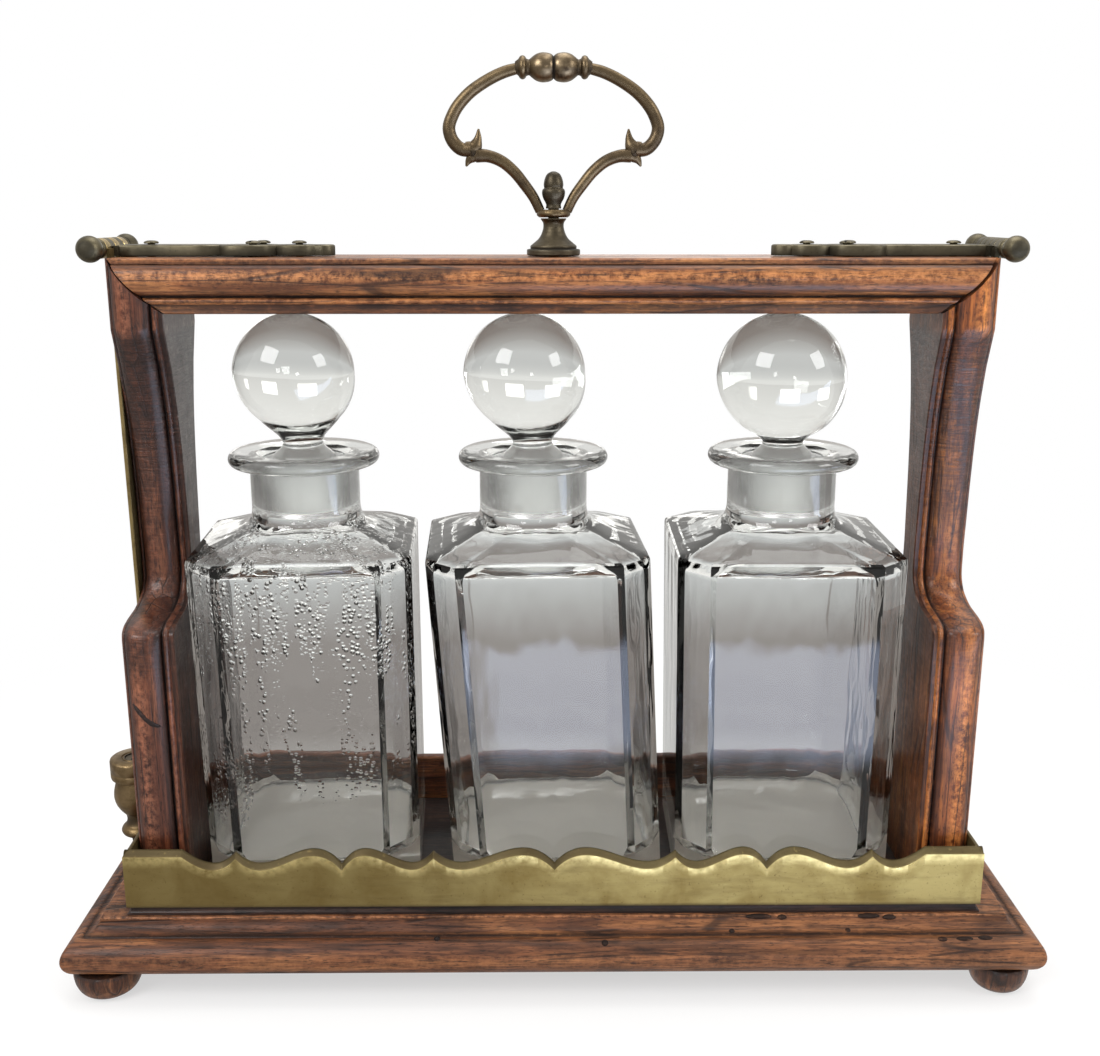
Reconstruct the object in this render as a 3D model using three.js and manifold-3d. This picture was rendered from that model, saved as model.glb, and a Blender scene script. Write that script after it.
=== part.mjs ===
// A tantalus: an oak frame that locks three glass decanters under a hinged top bar.
// Millimetres, +Z up, +X to the right, the front faces -Y, and the origin is on the
// surface that the feet stand on, under the middle of the frame.
import * as THREE from 'three';
import { mergeVertices } from 'three/addons/utils/BufferGeometryUtils.js';
import Module from 'manifold-3d';

// Running gaps and overruns
const seatGap = 0.3;
const pinGap = 0.08;
const cutOverrun = 2;

// Base board and its feet
const baseEndReach = 24.1;
const baseSideReach = 15.7;
const footHeight = 10.7;
const footRadius = 12.2;
const footInsetX = 12.8;
const footInsetY = 12.9;
const baseNoseHeight = 13.6;
const baseHollowHeight = 4.9;
const baseTopInset = 11.7;
const plinthHeight = 3.1;

// Brass gallery round the bottles and the wooden rail behind them
const galleryHeight = 22;
const galleryThick = 2.6;
const galleryBevelHeight = 2;
const galleryBevelDepth = 1.6;
const galleryEndFlat = 21.2;
const galleryNotch = 5.7;
const galleryCuspDrop = 0.8;
const galleryCrestPull = 11.4;
const galleryTroughPull = 15.4;
const galleryEndPull = 8.3;
const galleryCornerPull = 5.3;
const trayPlay = 2.5;
const backRailHeight = 22;
const backRailThick = 3.9;

// Moulding that runs across the bar and down both uprights
const uprightThick = 18.6;
const fillet = 2.2;
const roundWidth = 10.4;
const uprightFillet = 1.2;
const uprightRoundWidth = 12.8;
const roundHeight = 3.2;
const beadGap = 0.6;
const beadWidth = 2.2;
const beadHeight = 1.5;
const lowerFilletStep = 0.8;

// Uprights
const uprightHalfDepth = 22.6;
const blockInset = 4.8;

// Top bar
const mitreGap = 0.5;
const hingeMitreGap = 1.1;
const mitreBow = 2.2;

// Decanters
const decanterWidth = 81;
const decanterRoom = 11.8;
const decanterChamfer = 10.4;
const decanterTaper = 0.97;
const decanterBodyHeight = 126.7;
const shoulderRise = 6.2;
const neckRadius = 19.7;
const neckFlare = 1.6;
const neckTopHeight = 154.7;
const lipRadius = 27.3;
const lipThick = 5.2;
const mouthRadius = 15.6;
const boreBottomRadius = 12.8;
const boreLength = 21;
const glassWall = 4.2;
const glassBottom = 11;
const shoulderWall = 4.4;

// Stoppers
const stopperRadii = { left: 21.7, middle: 22, right: 23.3 };
const stopperTopGap = 0.9;
const stopperStand = 49.5;
const stopperNeckRadius = 7.6;
const stopperPlugLength = 19;
const stopperShoulderHeight = 3;
const stopperLiftGap = 0.35;
const stopperFootAngle = 42;

// Hinge and hasp barrels at the ends of the bar
const barrelRadius = 3.5;
const barrelLength = 24;
const barrelKnuckles = 5;
const knuckleGap = 0.25;
const barrelRise = 3;
const pinRadius = 1.65;
const finialBallRadius = 4.5;
const finialNeckRadius = 2.4;
const finialNeckLength = 2;
const finialRingWidth = 1.6;

// Brass straps on the bar
const strapThick = 3.8;
const strapLength = 75;
const strapHalfWidth = 9;
const screwHeadRadius = 2.6;
const screwHeadHeight = 1.1;
const screwShankRadius = 1.3;
const screwPointLength = 4;
const strapScrewLength = 13;
const leafScrewLength = 11;

// Hinge leaf on the right upright, and the hasp arm on the left one
const leafThick = 1.7;
const leafLength = 44;
const leafHalfWidth = 12;
const leafTaper = 0.7;
const armThick = 1.4;
const armHalfWidth = 12.5;
const armTaper = 0.78;
const armEndClearance = 0.9;

// Lock that hangs on the hasp arm
const lockHeadRadius = 9.2;
const lockHeadHeight = 8.2;
const lockTopRise = 16.6;
const lockFootGap = 1.8;
const lockNeckRadius = 7.3;
const lockBellyRadius = 8.6;
const lockWaistRadius = 4.5;
const lockBeadRadius = 6.9;
const lockStemRadius = 3.2;
const plugRadius = 3.3;
const plugStemRadius = 1.5;
const keySlotWidth = 1.1;
const keySlotDepth = 4;
const chamberRadius = 5.9;
const camOuterRadius = 5.3;
const camThick = 1.8;
const camHalfAngle = 28;
const camWebThick = 1;
const camGap = 0.4;
const stapleRise = 4.4;
const stapleWidth = 1.8;
const stapleHeight = 4.6;
const stapleHookThick = 1.1;
const stapleNotchDepth = 3.2;
const stapleTang = 9;
const stapleClearance = 1;

// Carrying handle
const postFootRadius = 9.4;
const postHeight = 13;
const studRadius = 1.9;
const studLength = 14;
const hubRadius = 5.9;
const hubHeight = 2.7;
const acornCupRadius = 4;
const acornNeckRadius = 2.7;
const acornHeight = 12.6;
const acornNeckHeight = 2.1;
const acornCupHeight = 4.4;
const handleRise = 63;
const handleHalfWidth = 37.4;
const handleBarRadius = 2;
const spurRadius = 2.1;
const gripBeadRadius = 4.9;
const gripCollarRadius = 3.7;
const gripCollarWidth = 3;
const gripHalfLength = 13;

// Facets
const turnedSides = 16;
const barrelSides = 14;
const smallSides = 12;
const holeSides = 8;
const bottleSides = 24;

// Derived heights and places: the tray and the frame go round three bottles, and the base goes
// round the frame
const trayHalfDepth = decanterWidth / 2 + trayPlay;
const frameInside = 1.5 * decanterWidth + decanterRoom;
const frameHalfWidth = frameInside + uprightThick;
const baseHalfWidth = frameHalfWidth + baseEndReach;
const baseHalfDepth = trayHalfDepth + baseSideReach;
const blockHalfDepth = trayHalfDepth - blockInset;
const baseTop = footHeight + baseNoseHeight + baseHollowHeight;
const plinthTop = baseTop + plinthHeight;
const galleryTop = plinthTop + galleryHeight;
const galleryHalfDepth = trayHalfDepth + galleryThick;
const galleryHalfWidth = frameHalfWidth + seatGap + galleryThick;
const barBottom = plinthTop + neckTopHeight + lipThick + stopperStand + stopperTopGap;
const frameTop = barBottom + uprightThick;
const axisX = frameHalfWidth + seatGap + leafThick + 0.75 * barrelRadius;
const axisZ = frameTop + barrelRise;
const strapStart = axisX - frameHalfWidth;
const stapleZ = galleryTop + stapleRise;
const lockTop = galleryTop + lockTopRise;
const lockBodyHeight = lockTop - baseTop - lockFootGap;
const lockX = frameHalfWidth + 2 * seatGap + armThick + lockHeadRadius;
const camWebBottom = stapleZ + stapleHeight / 2 + camGap;
const chamberTop = camWebBottom + camWebThick + camGap;
const chamberBottom = stapleZ - stapleHeight / 2 - stapleClearance;
const hubBottom = frameTop + postHeight + seatGap;
const acornBottom = hubBottom + hubHeight + seatGap;

const wasm = await Module();
wasm.setup();

// Turns a closed geometry into a solid that can be cut and joined
function solidOf(geometry) {
  const bare = geometry.clone();
  bare.deleteAttribute('normal');
  bare.deleteAttribute('uv');
  const merged = mergeVertices(bare, 1e-5);
  const vertProperties = new Float32Array(merged.attributes.position.array);
  const triVerts = new Uint32Array(merged.index.array);
  return new wasm.Manifold(new wasm.Mesh({ numProp: 3, vertProperties, triVerts }));
}

// Turns a solid back into a geometry with flat shading
function geometryOf(solid) {
  const mesh = solid.getMesh();
  const geometry = new THREE.BufferGeometry();
  geometry.setAttribute('position', new THREE.BufferAttribute(mesh.vertProperties, 3));
  geometry.setIndex(new THREE.BufferAttribute(mesh.triVerts, 1));
  geometry.computeVertexNormals();
  return geometry;
}

function joined(...geometries) {
  return geometryOf(geometries.map(solidOf).reduce((sum, solid) => sum.add(solid)));
}

function cut(geometry, ...cutters) {
  return geometryOf(cutters.map(solidOf).reduce((rest, solid) => rest.subtract(solid), solidOf(geometry)));
}

function kept(geometry, keeper) {
  return geometryOf(solidOf(geometry).intersect(solidOf(keeper)));
}

// A box from its lowest corner to its highest one
function boxBetween(low, high) {
  const box = new THREE.BoxGeometry(high[0] - low[0], high[1] - low[1], high[2] - low[2]);
  box.translate((low[0] + high[0]) / 2, (low[1] + high[1]) / 2, (low[2] + high[2]) / 2);
  return box;
}

// A turned form: the profile lists radius and height, and the axis stands along Z
function turned(profile, sides = turnedSides) {
  const points = profile.map(([radius, height]) => new THREE.Vector2(radius, height));
  return new THREE.LatheGeometry(points, sides).rotateX(Math.PI / 2);
}

// A profile from a table of shares of a radius and a height, above a low point
function profileOf(shares, radius, height, low = 0) {
  return shares.map(([across, up]) => [across * radius, low + up * height]);
}

// A round bar along Z between two heights
function roundBar(radius, low, high, sides = smallSides) {
  return turned([[0, low], [radius, low], [radius, high], [0, high]], sides);
}

// Triangles that close a ring lying in X and Y
function contourCap(ring) {
  return THREE.ShapeUtils.triangulateShape(ring.map((point) => new THREE.Vector2(point.x, point.y)), []);
}

// Triangles that close a ring with no hollows, fanned out from its first point
function fanCap(ring) {
  return ring.slice(2).map((unused, i) => [0, i + 1, i + 2]);
}

// A solid between rings of points, closed by a cap at each end
function loftRings(rings, cap = contourCap(rings[0])) {
  const count = rings[0].length;
  const positions = rings.flatMap((ring) => ring.flatMap((point) => point.toArray()));
  const indices = [];
  for (let level = 0; level + 1 < rings.length; level += 1) {
    for (let i = 0; i < count; i += 1) {
      const next = (i + 1) % count;
      const a = level * count + i;
      const b = level * count + next;
      indices.push(a, b, b + count, a, b + count, a + count);
    }
  }
  const top = (rings.length - 1) * count;
  for (const [a, b, c] of cap) {
    indices.push(c, b, a, top + a, top + b, top + c);
  }
  const geometry = new THREE.BufferGeometry();
  geometry.setAttribute('position', new THREE.Float32BufferAttribute(positions, 3));
  geometry.setIndex(indices);
  return geometry;
}

// An outline in X and Z, given thickness along Y from a front to a back
function plateAlongY(shape, front, back, curveSegments = 8) {
  const plate = new THREE.ExtrudeGeometry(shape, { depth: back - front, bevelEnabled: false, curveSegments });
  return plate.rotateX(Math.PI / 2).translate(0, back, 0);
}

// An outline in X and Y, given height from a bottom to a top
function plateAlongZ(shape, bottom, top, curveSegments = 8) {
  const plate = new THREE.ExtrudeGeometry(shape, { depth: top - bottom, bevelEnabled: false, curveSegments });
  return plate.translate(0, 0, bottom);
}

// Points of a moulding: distance across the face, and how far it lies back. The bar has the
// narrow half round, and the uprights have the wide one.
function mouldingPoints(filletWidth, halfRoundWidth) {
  const points = [[0, roundHeight], [filletWidth, roundHeight]];
  const steps = 5;
  for (let i = 1; i <= steps; i += 1) {
    const angle = (Math.PI * i) / steps;
    const across = filletWidth + (halfRoundWidth * (1 - Math.cos(angle))) / 2;
    points.push([across, roundHeight * (1 - Math.sin(angle))]);
  }
  const beadStart = filletWidth + halfRoundWidth + beadGap;
  points.push([beadStart, roundHeight]);
  points.push([beadStart + beadWidth / 2, roundHeight - beadHeight]);
  points.push([beadStart + beadWidth, roundHeight - lowerFilletStep]);
  points.push([uprightThick, roundHeight - lowerFilletStep]);
  return points;
}

const oakBar = new THREE.MeshStandardMaterial({ color: 0x8a4a26, roughness: 0.5, metalness: 0 });
const oakLeft = new THREE.MeshStandardMaterial({ color: 0x5b3226, roughness: 0.55, metalness: 0 });
const oakRight = new THREE.MeshStandardMaterial({ color: 0x8b4d2a, roughness: 0.55, metalness: 0 });
const oakBase = new THREE.MeshStandardMaterial({ color: 0x6b4030, roughness: 0.6, metalness: 0 });
const oakFoot = new THREE.MeshStandardMaterial({ color: 0x553022, roughness: 0.6, metalness: 0 });
const oakDark = new THREE.MeshStandardMaterial({ color: 0x3e2418, roughness: 0.7, metalness: 0 });
const brassPlate = new THREE.MeshStandardMaterial({ color: 0xa8934f, roughness: 0.38, metalness: 1 });
const brassHandle = new THREE.MeshStandardMaterial({ color: 0x7b6440, roughness: 0.42, metalness: 1 });
const brassDull = new THREE.MeshStandardMaterial({ color: 0x5f5138, roughness: 0.5, metalness: 1 });
const brassLock = new THREE.MeshStandardMaterial({ color: 0x8d7a4c, roughness: 0.4, metalness: 1 });
const steelDark = new THREE.MeshStandardMaterial({ color: 0x4a4640, roughness: 0.5, metalness: 1 });
const glassClear = new THREE.MeshStandardMaterial({ color: 0xdfe6e4, roughness: 0.05, metalness: 0 });

function addPart(parent, name, geometry, material) {
  const mesh = new THREE.Mesh(geometry, material);
  mesh.name = name;
  parent.add(mesh);
  return mesh;
}

const tantalus = new THREE.Group();

// Base board: a flat top, a small hollow and a round nose on all four edges
function baseBoardGeometry() {
  const radius = baseNoseHeight / 2;
  const noseSteps = 8;
  const hollowSteps = 4;
  const levels = [];
  for (let i = 0; i <= noseSteps; i += 1) {
    const angle = -Math.PI / 2 + (Math.PI * i) / noseSteps;
    levels.push([radius * (Math.cos(angle) - 1), footHeight + radius * (1 + Math.sin(angle))]);
  }
  for (let i = 1; i <= hollowSteps; i += 1) {
    const angle = ((Math.PI / 2) * i) / hollowSteps;
    const inward = radius + (baseTopInset - radius) * Math.sin(angle);
    levels.push([-inward, footHeight + baseNoseHeight + baseHollowHeight * (1 - Math.cos(angle))]);
  }
  const corners = [[-1, -1], [1, -1], [1, 1], [-1, 1]];
  return loftRings(levels.map(([out, height]) => corners.map(([sideX, sideY]) => (
    new THREE.Vector3(sideX * (baseHalfWidth + out), sideY * (baseHalfDepth + out), height)
  ))));
}

// Bowl-shaped foot, widest near the board, as shares of its radius and height
const footShares = [
  [0, 0], [0.5, 0], [0.76, 0.12], [0.91, 0.34], [0.985, 0.6], [1, 0.8], [0.96, 1], [0, 1],
];

// The four feet and how wide each was turned, as a share of the foot radius
const footPlaceShares = [
  { place: 'front_left', sideX: -1, sideY: -1, share: 1 },
  { place: 'front_right', sideX: 1, sideY: -1, share: 0.88 },
  { place: 'rear_left', sideX: -1, sideY: 1, share: 1 },
  { place: 'rear_right', sideX: 1, sideY: 1, share: 1 },
];

function makeBase() {
  const base = new THREE.Group();
  tantalus.add(base);
  addPart(base, 'base_board', baseBoardGeometry(), oakBase);
  for (const { place, sideX, sideY, share } of footPlaceShares) {
    const profile = profileOf(footShares, share * footRadius, footHeight);
    const foot = addPart(base, `foot_${place}`, turned(profile, barrelSides), oakFoot);
    foot.position.set(sideX * (baseHalfWidth - footInsetX), sideY * (baseHalfDepth - footInsetY), 0);
  }
  const plinth = boxBetween(
    [-galleryHalfWidth, -galleryHalfDepth, baseTop],
    [galleryHalfWidth, trayHalfDepth - seatGap, plinthTop],
  );
  addPart(base, 'plinth', plinth, oakDark);
}

// Turns of the scalloped edge, as shares of the half length between the end flats: a notch in
// the middle, then by turns a cusp and a notch, and the start of the flat
const scallopTurnShares = [0, 0.326, 0.573, 0.857, 1];

// Right half of the scalloped line, as a list of curves: each rises from a notch to a crest beside
// it, dips to a trough and comes up to a cusp, and the last one comes up to the end flat
function scallopCurves() {
  const reach = galleryHalfWidth - galleryEndFlat;
  const notch = { z: galleryTop - galleryNotch, pull: galleryTop + galleryCrestPull };
  const cusp = { z: galleryTop - galleryCuspDrop, pull: galleryTop - galleryTroughPull };
  const lastCusp = { z: cusp.z, pull: galleryTop - galleryEndPull };
  const flat = { z: galleryTop, pull: galleryTop - galleryCornerPull };
  const stretches = [[notch, cusp], [cusp, notch], [notch, cusp], [lastCusp, flat]];
  return stretches.map(([from, to], i) => {
    const start = scallopTurnShares[i] * reach;
    const end = scallopTurnShares[i + 1] * reach;
    const third = (end - start) / 3;
    return new THREE.CubicBezierCurve(
      new THREE.Vector2(start, from.z), new THREE.Vector2(start + third, from.pull),
      new THREE.Vector2(end - third, to.pull), new THREE.Vector2(end, to.z),
    );
  });
}

// Section of the brass strip where its outer corner stands at x and y: the outer edge is filed to
// a bevel. The strip's thickness lies inward by the given steps along X and Y.
function stripRing(x, y, top, inX, inY) {
  const levels = [
    [1, top], [galleryBevelDepth / galleryThick, top], [0, top - galleryBevelHeight],
    [0, plinthTop], [1, plinthTop],
  ];
  return levels.map(([share, height]) => (
    new THREE.Vector3(x + share * inX * galleryThick, y + share * inY * galleryThick, height)
  ));
}

// One brass strip bent round the front and both ends of the tray, with a tail behind the plinth
function makeGallery() {
  const half = scallopCurves().flatMap((curve) => curve.getPoints(7).slice(1));
  const front = [...half].reverse().map((point) => [-point.x, point.y]);
  front.push([0, galleryTop - galleryNotch], ...half.map((point) => [point.x, point.y]));
  const wide = galleryHalfWidth;
  const deep = galleryHalfDepth;
  const rear = trayHalfDepth + backRailThick;
  const rings = [
    stripRing(-wide, rear, galleryTop, 1, 0),
    stripRing(-wide, -deep, galleryTop, 1, 1),
    ...front.map(([x, top]) => stripRing(x, -deep, top, 0, 1)),
    stripRing(wide, -deep, galleryTop, -1, 1),
    stripRing(wide, rear, galleryTop, -1, 0),
  ];
  const tails = [-1, 1].map((side) => boxBetween(
    [Math.min(side * wide, side * (wide - galleryThick)), trayHalfDepth, baseTop + seatGap],
    [Math.max(side * wide, side * (wide - galleryThick)), rear, plinthTop + seatGap],
  ));
  addPart(tantalus, 'gallery', joined(loftRings(rings, fanCap(rings[0])), ...tails), brassPlate);
}

// Low wooden rail with a rounded top that closes the tray at the back
function makeBackRail() {
  const shape = new THREE.Shape();
  const radius = backRailThick / 2;
  const half = galleryHalfWidth - galleryThick - seatGap;
  shape.moveTo(0, 0);
  shape.lineTo(backRailThick, 0);
  shape.lineTo(backRailThick, backRailHeight - radius);
  shape.absarc(radius, backRailHeight - radius, radius, 0, Math.PI, false);
  shape.lineTo(0, 0);
  const rail = new THREE.ExtrudeGeometry(shape, { depth: 2 * half, bevelEnabled: false, curveSegments: 8 });
  rail.rotateX(Math.PI / 2).rotateZ(Math.PI / 2);
  const mesh = addPart(tantalus, 'back_rail', rail, oakRight);
  mesh.position.set(-half, trayHalfDepth, baseTop);
}

// Side of an upright, as shares: height above the plinth over the whole height, and half depth
// over the foot block's. A square block, its rounded top, a hollow to the waist, the long
// scoop, and a slanted cut up to the square head.
const uprightSideShares = [
  [0, 1], [0.428, 1], [0.439, 0.983], [0.446, 0.93], [0.4505, 0.837], [0.457, 0.576], [0.463, 0.458],
  [0.472, 0.351], [0.49, 0.267], [0.523, 0.246], [0.585, 0.259], [0.67, 0.29], [0.778, 0.372], [0.837, 0.458],
];
const headFootShare = 0.895;

// Half depth of an upright at each height, from the foot to the head
function uprightSidePoints() {
  const height = frameTop - plinthTop;
  const points = uprightSideShares.map(([up, out]) => [plinthTop + up * height, out * blockHalfDepth]);
  points.push([plinthTop + headFootShare * height, uprightHalfDepth], [frameTop, uprightHalfDepth]);
  return points;
}

// Section of the left upright at one height: moulded at the front and at the back
function uprightRing(height, halfDepth) {
  const front = mouldingPoints(uprightFillet, uprightRoundWidth).map(([across, back]) => (
    new THREE.Vector3(-frameHalfWidth + across, -halfDepth + back, height)
  ));
  const rear = front.map((point) => new THREE.Vector3(point.x, -point.y, height)).reverse();
  return front.concat(rear);
}

// The curved line where the bar's left end meets the upright, as a solid below it
function mitreSolid(gap) {
  const shape = new THREE.Shape();
  const outX = -frameHalfWidth - cutOverrun;
  const slope = (frameTop - barBottom) / uprightThick;
  const lift = gap / 2;
  const startX = -frameHalfWidth + lift;
  const startZ = frameTop + lift;
  const endX = -frameInside + lift;
  const endZ = barBottom + lift;
  const bendX = (startX + endX) / 2 - mitreBow;
  const bendZ = (startZ + endZ) / 2 - mitreBow;
  shape.moveTo(outX, plinthTop - cutOverrun);
  shape.lineTo(endX + 2 * cutOverrun, plinthTop - cutOverrun);
  shape.lineTo(endX + 2 * cutOverrun, endZ - 2 * cutOverrun * slope);
  shape.lineTo(endX, endZ);
  shape.quadraticCurveTo(bendX, bendZ, startX, startZ);
  shape.lineTo(outX, startZ + (startX - outX) * slope);
  return plateAlongY(shape, -uprightHalfDepth - blockHalfDepth, uprightHalfDepth + blockHalfDepth, 8);
}

// Mirrors a geometry left to right and turns its faces out again
function mirrored(geometry) {
  const copy = geometry.clone().scale(-1, 1, 1);
  const flipped = copy.index ? copy : mergeVertices(copy);
  const index = flipped.index.array;
  for (let i = 0; i < index.length; i += 3) {
    [index[i], index[i + 1]] = [index[i + 1], index[i]];
  }
  flipped.computeVertexNormals();
  return flipped;
}

// Slot for the staple in the left upright's outer face
function stapleMortise() {
  const halfWidth = stapleWidth / 2 + seatGap;
  const halfHeight = stapleHeight / 2 + seatGap;
  return boxBetween(
    [-frameHalfWidth - cutOverrun, -halfWidth, stapleZ - halfHeight],
    [-frameHalfWidth + stapleTang + seatGap, halfWidth, stapleZ + halfHeight],
  );
}

function makeUprights() {
  const rough = loftRings(uprightSidePoints().map(([height, depth]) => uprightRing(height, depth)));
  const upright = kept(rough, mitreSolid(0));
  addPart(tantalus, 'left_upright', cut(upright, stapleMortise()), oakLeft);
  const leafHoles = leafScrewPlaces().map(([y, z]) => (
    roundBar(screwShankRadius + seatGap, -leafScrewLength, cutOverrun, holeSides)
      .rotateY(Math.PI / 2).translate(frameHalfWidth, y, axisZ + z)
  ));
  addPart(tantalus, 'right_upright', cut(mirrored(upright), ...leafHoles), oakRight);
}

// Top bar: the moulding runs along both long sides, and both ends are cut to the mitre
function topBarGeometry() {
  const front = mouldingPoints(fillet, roundWidth).map(([across, back]) => (
    new THREE.Vector2(-uprightHalfDepth + back, frameTop - across)
  ));
  const rear = front.map((point) => new THREE.Vector2(-point.x, point.y)).reverse();
  const shape = new THREE.Shape(front.concat(rear));
  const bar = new THREE.ExtrudeGeometry(shape, { depth: 2 * frameHalfWidth, bevelEnabled: false });
  bar.rotateX(Math.PI / 2).rotateZ(Math.PI / 2).translate(-frameHalfWidth, 0, 0);
  const leftEnd = mitreSolid(mitreGap * 2);
  const rightEnd = mirrored(mitreSolid(hingeMitreGap * 2));
  const stud = roundBar(studRadius + pinGap, frameTop - studLength - seatGap, frameTop + cutOverrun);
  const screwHoles = [-1, 1].flatMap((side) => strapScrewPlaces().map(([x, y]) => (
    roundBar(screwShankRadius + seatGap, frameTop - strapScrewLength, frameTop + cutOverrun, holeSides)
      .translate(side * (axisX - x), -side * y, 0)
  )));
  return cut(bar, leftEnd, rightEnd, stud, ...screwHoles);
}

// Half width of a decanter's chamfered square section, with points shared out evenly
function squareRing(width, chamfer, height, sides = bottleSides) {
  const half = width / 2;
  const straight = half - chamfer;
  const perSide = sides / 8;
  const corners = [
    [half, -straight], [half, straight], [straight, half], [-straight, half],
    [-half, straight], [-half, -straight], [-straight, -half], [straight, -half],
  ];
  const ring = [];
  corners.forEach(([x, y], i) => {
    const [nextX, nextY] = corners[(i + 1) % corners.length];
    for (let step = 0; step < perSide; step += 1) {
      const share = step / perSide;
      ring.push(new THREE.Vector3(x + (nextX - x) * share, y + (nextY - y) * share, height));
    }
  });
  return ring;
}

function roundRing(radius, height, sides = bottleSides) {
  const perSide = sides / 8;
  const start = -Math.PI / 8;
  return Array.from({ length: sides }, (unused, i) => {
    const angle = start + (Math.PI * 2 * i) / (perSide * 8);
    return new THREE.Vector3(radius * Math.cos(angle), radius * Math.sin(angle), height);
  });
}

// A ring part of the way from one ring to another
function blendRing(from, to, share, height) {
  return from.map((point, i) => {
    const mixed = point.clone().lerp(to[i], share);
    mixed.z = height;
    return mixed;
  });
}

// The three bottles, blown by hand and so not quite alike. Each has the place of its neck as a
// share of the frame's inner half width, its turn in degrees, its width as a share of the widest
// one's, and how far its foot and its stopper's ball stand off the neck's axis, as shares of its
// own width.
const decanterPlaceShares = [
  { side: 'left', place: -0.685, turn: 3.2, width: 0.9775, footLean: 0.016, ballLean: -0.03 },
  { side: 'middle', place: -0.0555, turn: 2.6, width: 0.9825, footLean: 0.1, ballLean: -0.039 },
  { side: 'right', place: 0.632, turn: -1, width: 1, footLean: 0.01, ballLean: -0.021 },
];

// Leans a form along X, from nothing at one height to the whole lean at another and beyond
function leaning(geometry, from, to, lean) {
  const place = geometry.attributes.position;
  for (let i = 0; i < place.count; i += 1) {
    const share = THREE.MathUtils.clamp((place.getZ(i) - from) / (to - from), 0, 1);
    place.setX(i, place.getX(i) + share * lean);
  }
  return geometry;
}

// Depths in the lip where the mouth's rounding ends and where the ground bore starts
const mouthRoundShare = 0.18;
const boreTopShare = 0.6;

// Decanter: a chamfered square bottle with a thick foot, round neck and rolled lip
function decanterGeometry(width, footLean) {
  const bottomWidth = width * decanterTaper;
  const rim = decanterBodyHeight;
  const neckFoot = rim + shoulderRise;
  const outer = [
    squareRing(bottomWidth - 2 * fillet, decanterChamfer, 0),
    squareRing(bottomWidth, decanterChamfer, fillet),
    squareRing(width, decanterChamfer, rim - fillet / 2),
  ];
  const rimRing = squareRing(width - fillet, decanterChamfer, rim);
  const neckRing = roundRing(neckRadius + 2 * neckFlare, neckFoot);
  outer.push(rimRing);
  outer.push(blendRing(rimRing, neckRing, 0.6, rim + 0.55 * shoulderRise));
  outer.push(neckRing);
  outer.push(roundRing(neckRadius, neckFoot + 3 * neckFlare));
  outer.push(roundRing(neckRadius, neckTopHeight));
  const lipSteps = 4;
  for (let i = 0; i <= lipSteps; i += 1) {
    const angle = -Math.PI / 2 + (Math.PI * i) / lipSteps;
    const radius = lipRadius - (lipThick / 2) * (1 - Math.cos(angle));
    outer.push(roundRing(radius, neckTopHeight + (lipThick / 2) * (1 + Math.sin(angle))));
  }
  const lipTop = neckTopHeight + lipThick;
  const innerWidth = width - 2 * glassWall;
  const innerChamfer = decanterChamfer - 0.4 * glassWall;
  const innerRim = rim - shoulderWall;
  const inner = [
    roundRing(mouthRadius + neckFlare, lipTop - mouthRoundShare * lipThick),
    roundRing(mouthRadius, lipTop - boreTopShare * lipThick),
    roundRing(boreBottomRadius, lipTop - boreLength),
    roundRing(neckRadius - glassWall, lipTop - boreLength - neckFlare),
    roundRing(neckRadius - glassWall, neckFoot),
    blendRing(squareRing(innerWidth, innerChamfer, innerRim), roundRing(neckRadius, innerRim), 0.45,
      innerRim + 0.45 * shoulderRise),
    squareRing(innerWidth - fillet, innerChamfer, innerRim),
    squareRing(innerWidth, innerChamfer, innerRim - fillet),
    squareRing(innerWidth * decanterTaper, innerChamfer, glassBottom + 2 * fillet),
    squareRing(innerWidth * decanterTaper - 3 * fillet, innerChamfer, glassBottom),
  ];
  return leaning(loftRings(outer.concat(inner)), neckFoot, 0, footLean);
}

// Stopper: a blown ball on a short neck over a ground plug that fits the mouth
function stopperGeometry(ballRadius, ballCentre, ballLean) {
  const lipTop = neckTopHeight + lipThick;
  const plugGap = stopperLiftGap;
  const slope = (mouthRadius - boreBottomRadius) / (boreLength - boreTopShare * lipThick);
  const plugTop = lipTop - boreTopShare * lipThick;
  const plugTopRadius = mouthRadius - plugGap;
  const plugBottomRadius = plugTopRadius - slope * stopperPlugLength;
  const plugBottom = plugTop - stopperPlugLength;
  const neckBottom = plugTop + stopperShoulderHeight;
  const profile = [
    [0, plugBottom], [plugBottomRadius - neckFlare / 2, plugBottom],
    [plugBottomRadius, plugBottom + neckFlare / 2], [plugTopRadius, plugTop],
    [0.72 * plugTopRadius, plugTop + 0.5 * stopperShoulderHeight],
    [stopperNeckRadius + neckFlare, neckBottom],
  ];
  const start = THREE.MathUtils.degToRad(stopperFootAngle);
  const steps = 10;
  profile.push([stopperNeckRadius, neckBottom + neckFlare]);
  for (let i = 0; i < steps; i += 1) {
    const angle = start + ((Math.PI - start) * i) / steps;
    profile.push([ballRadius * Math.sin(angle), ballCentre - ballRadius * Math.cos(angle)]);
  }
  profile.push([0, ballCentre + ballRadius]);
  return leaning(turned(profile), lipTop, ballCentre, ballLean);
}

function makeDecanters() {
  for (const { side, place, turn, width, footLean, ballLean } of decanterPlaceShares) {
    const stand = new THREE.Group();
    stand.position.set(place * frameInside, 0, plinthTop);
    stand.rotation.z = THREE.MathUtils.degToRad(turn);
    tantalus.add(stand);
    const bodyWidth = width * decanterWidth;
    addPart(stand, `decanter_${side}`, decanterGeometry(bodyWidth, footLean * bodyWidth), glassClear);
    const radius = stopperRadii[side];
    const centre = barBottom - stopperTopGap - radius - plinthTop;
    addPart(stand, `stopper_${side}`, stopperGeometry(radius, centre, ballLean * bodyWidth), glassClear);
  }
}

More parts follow.
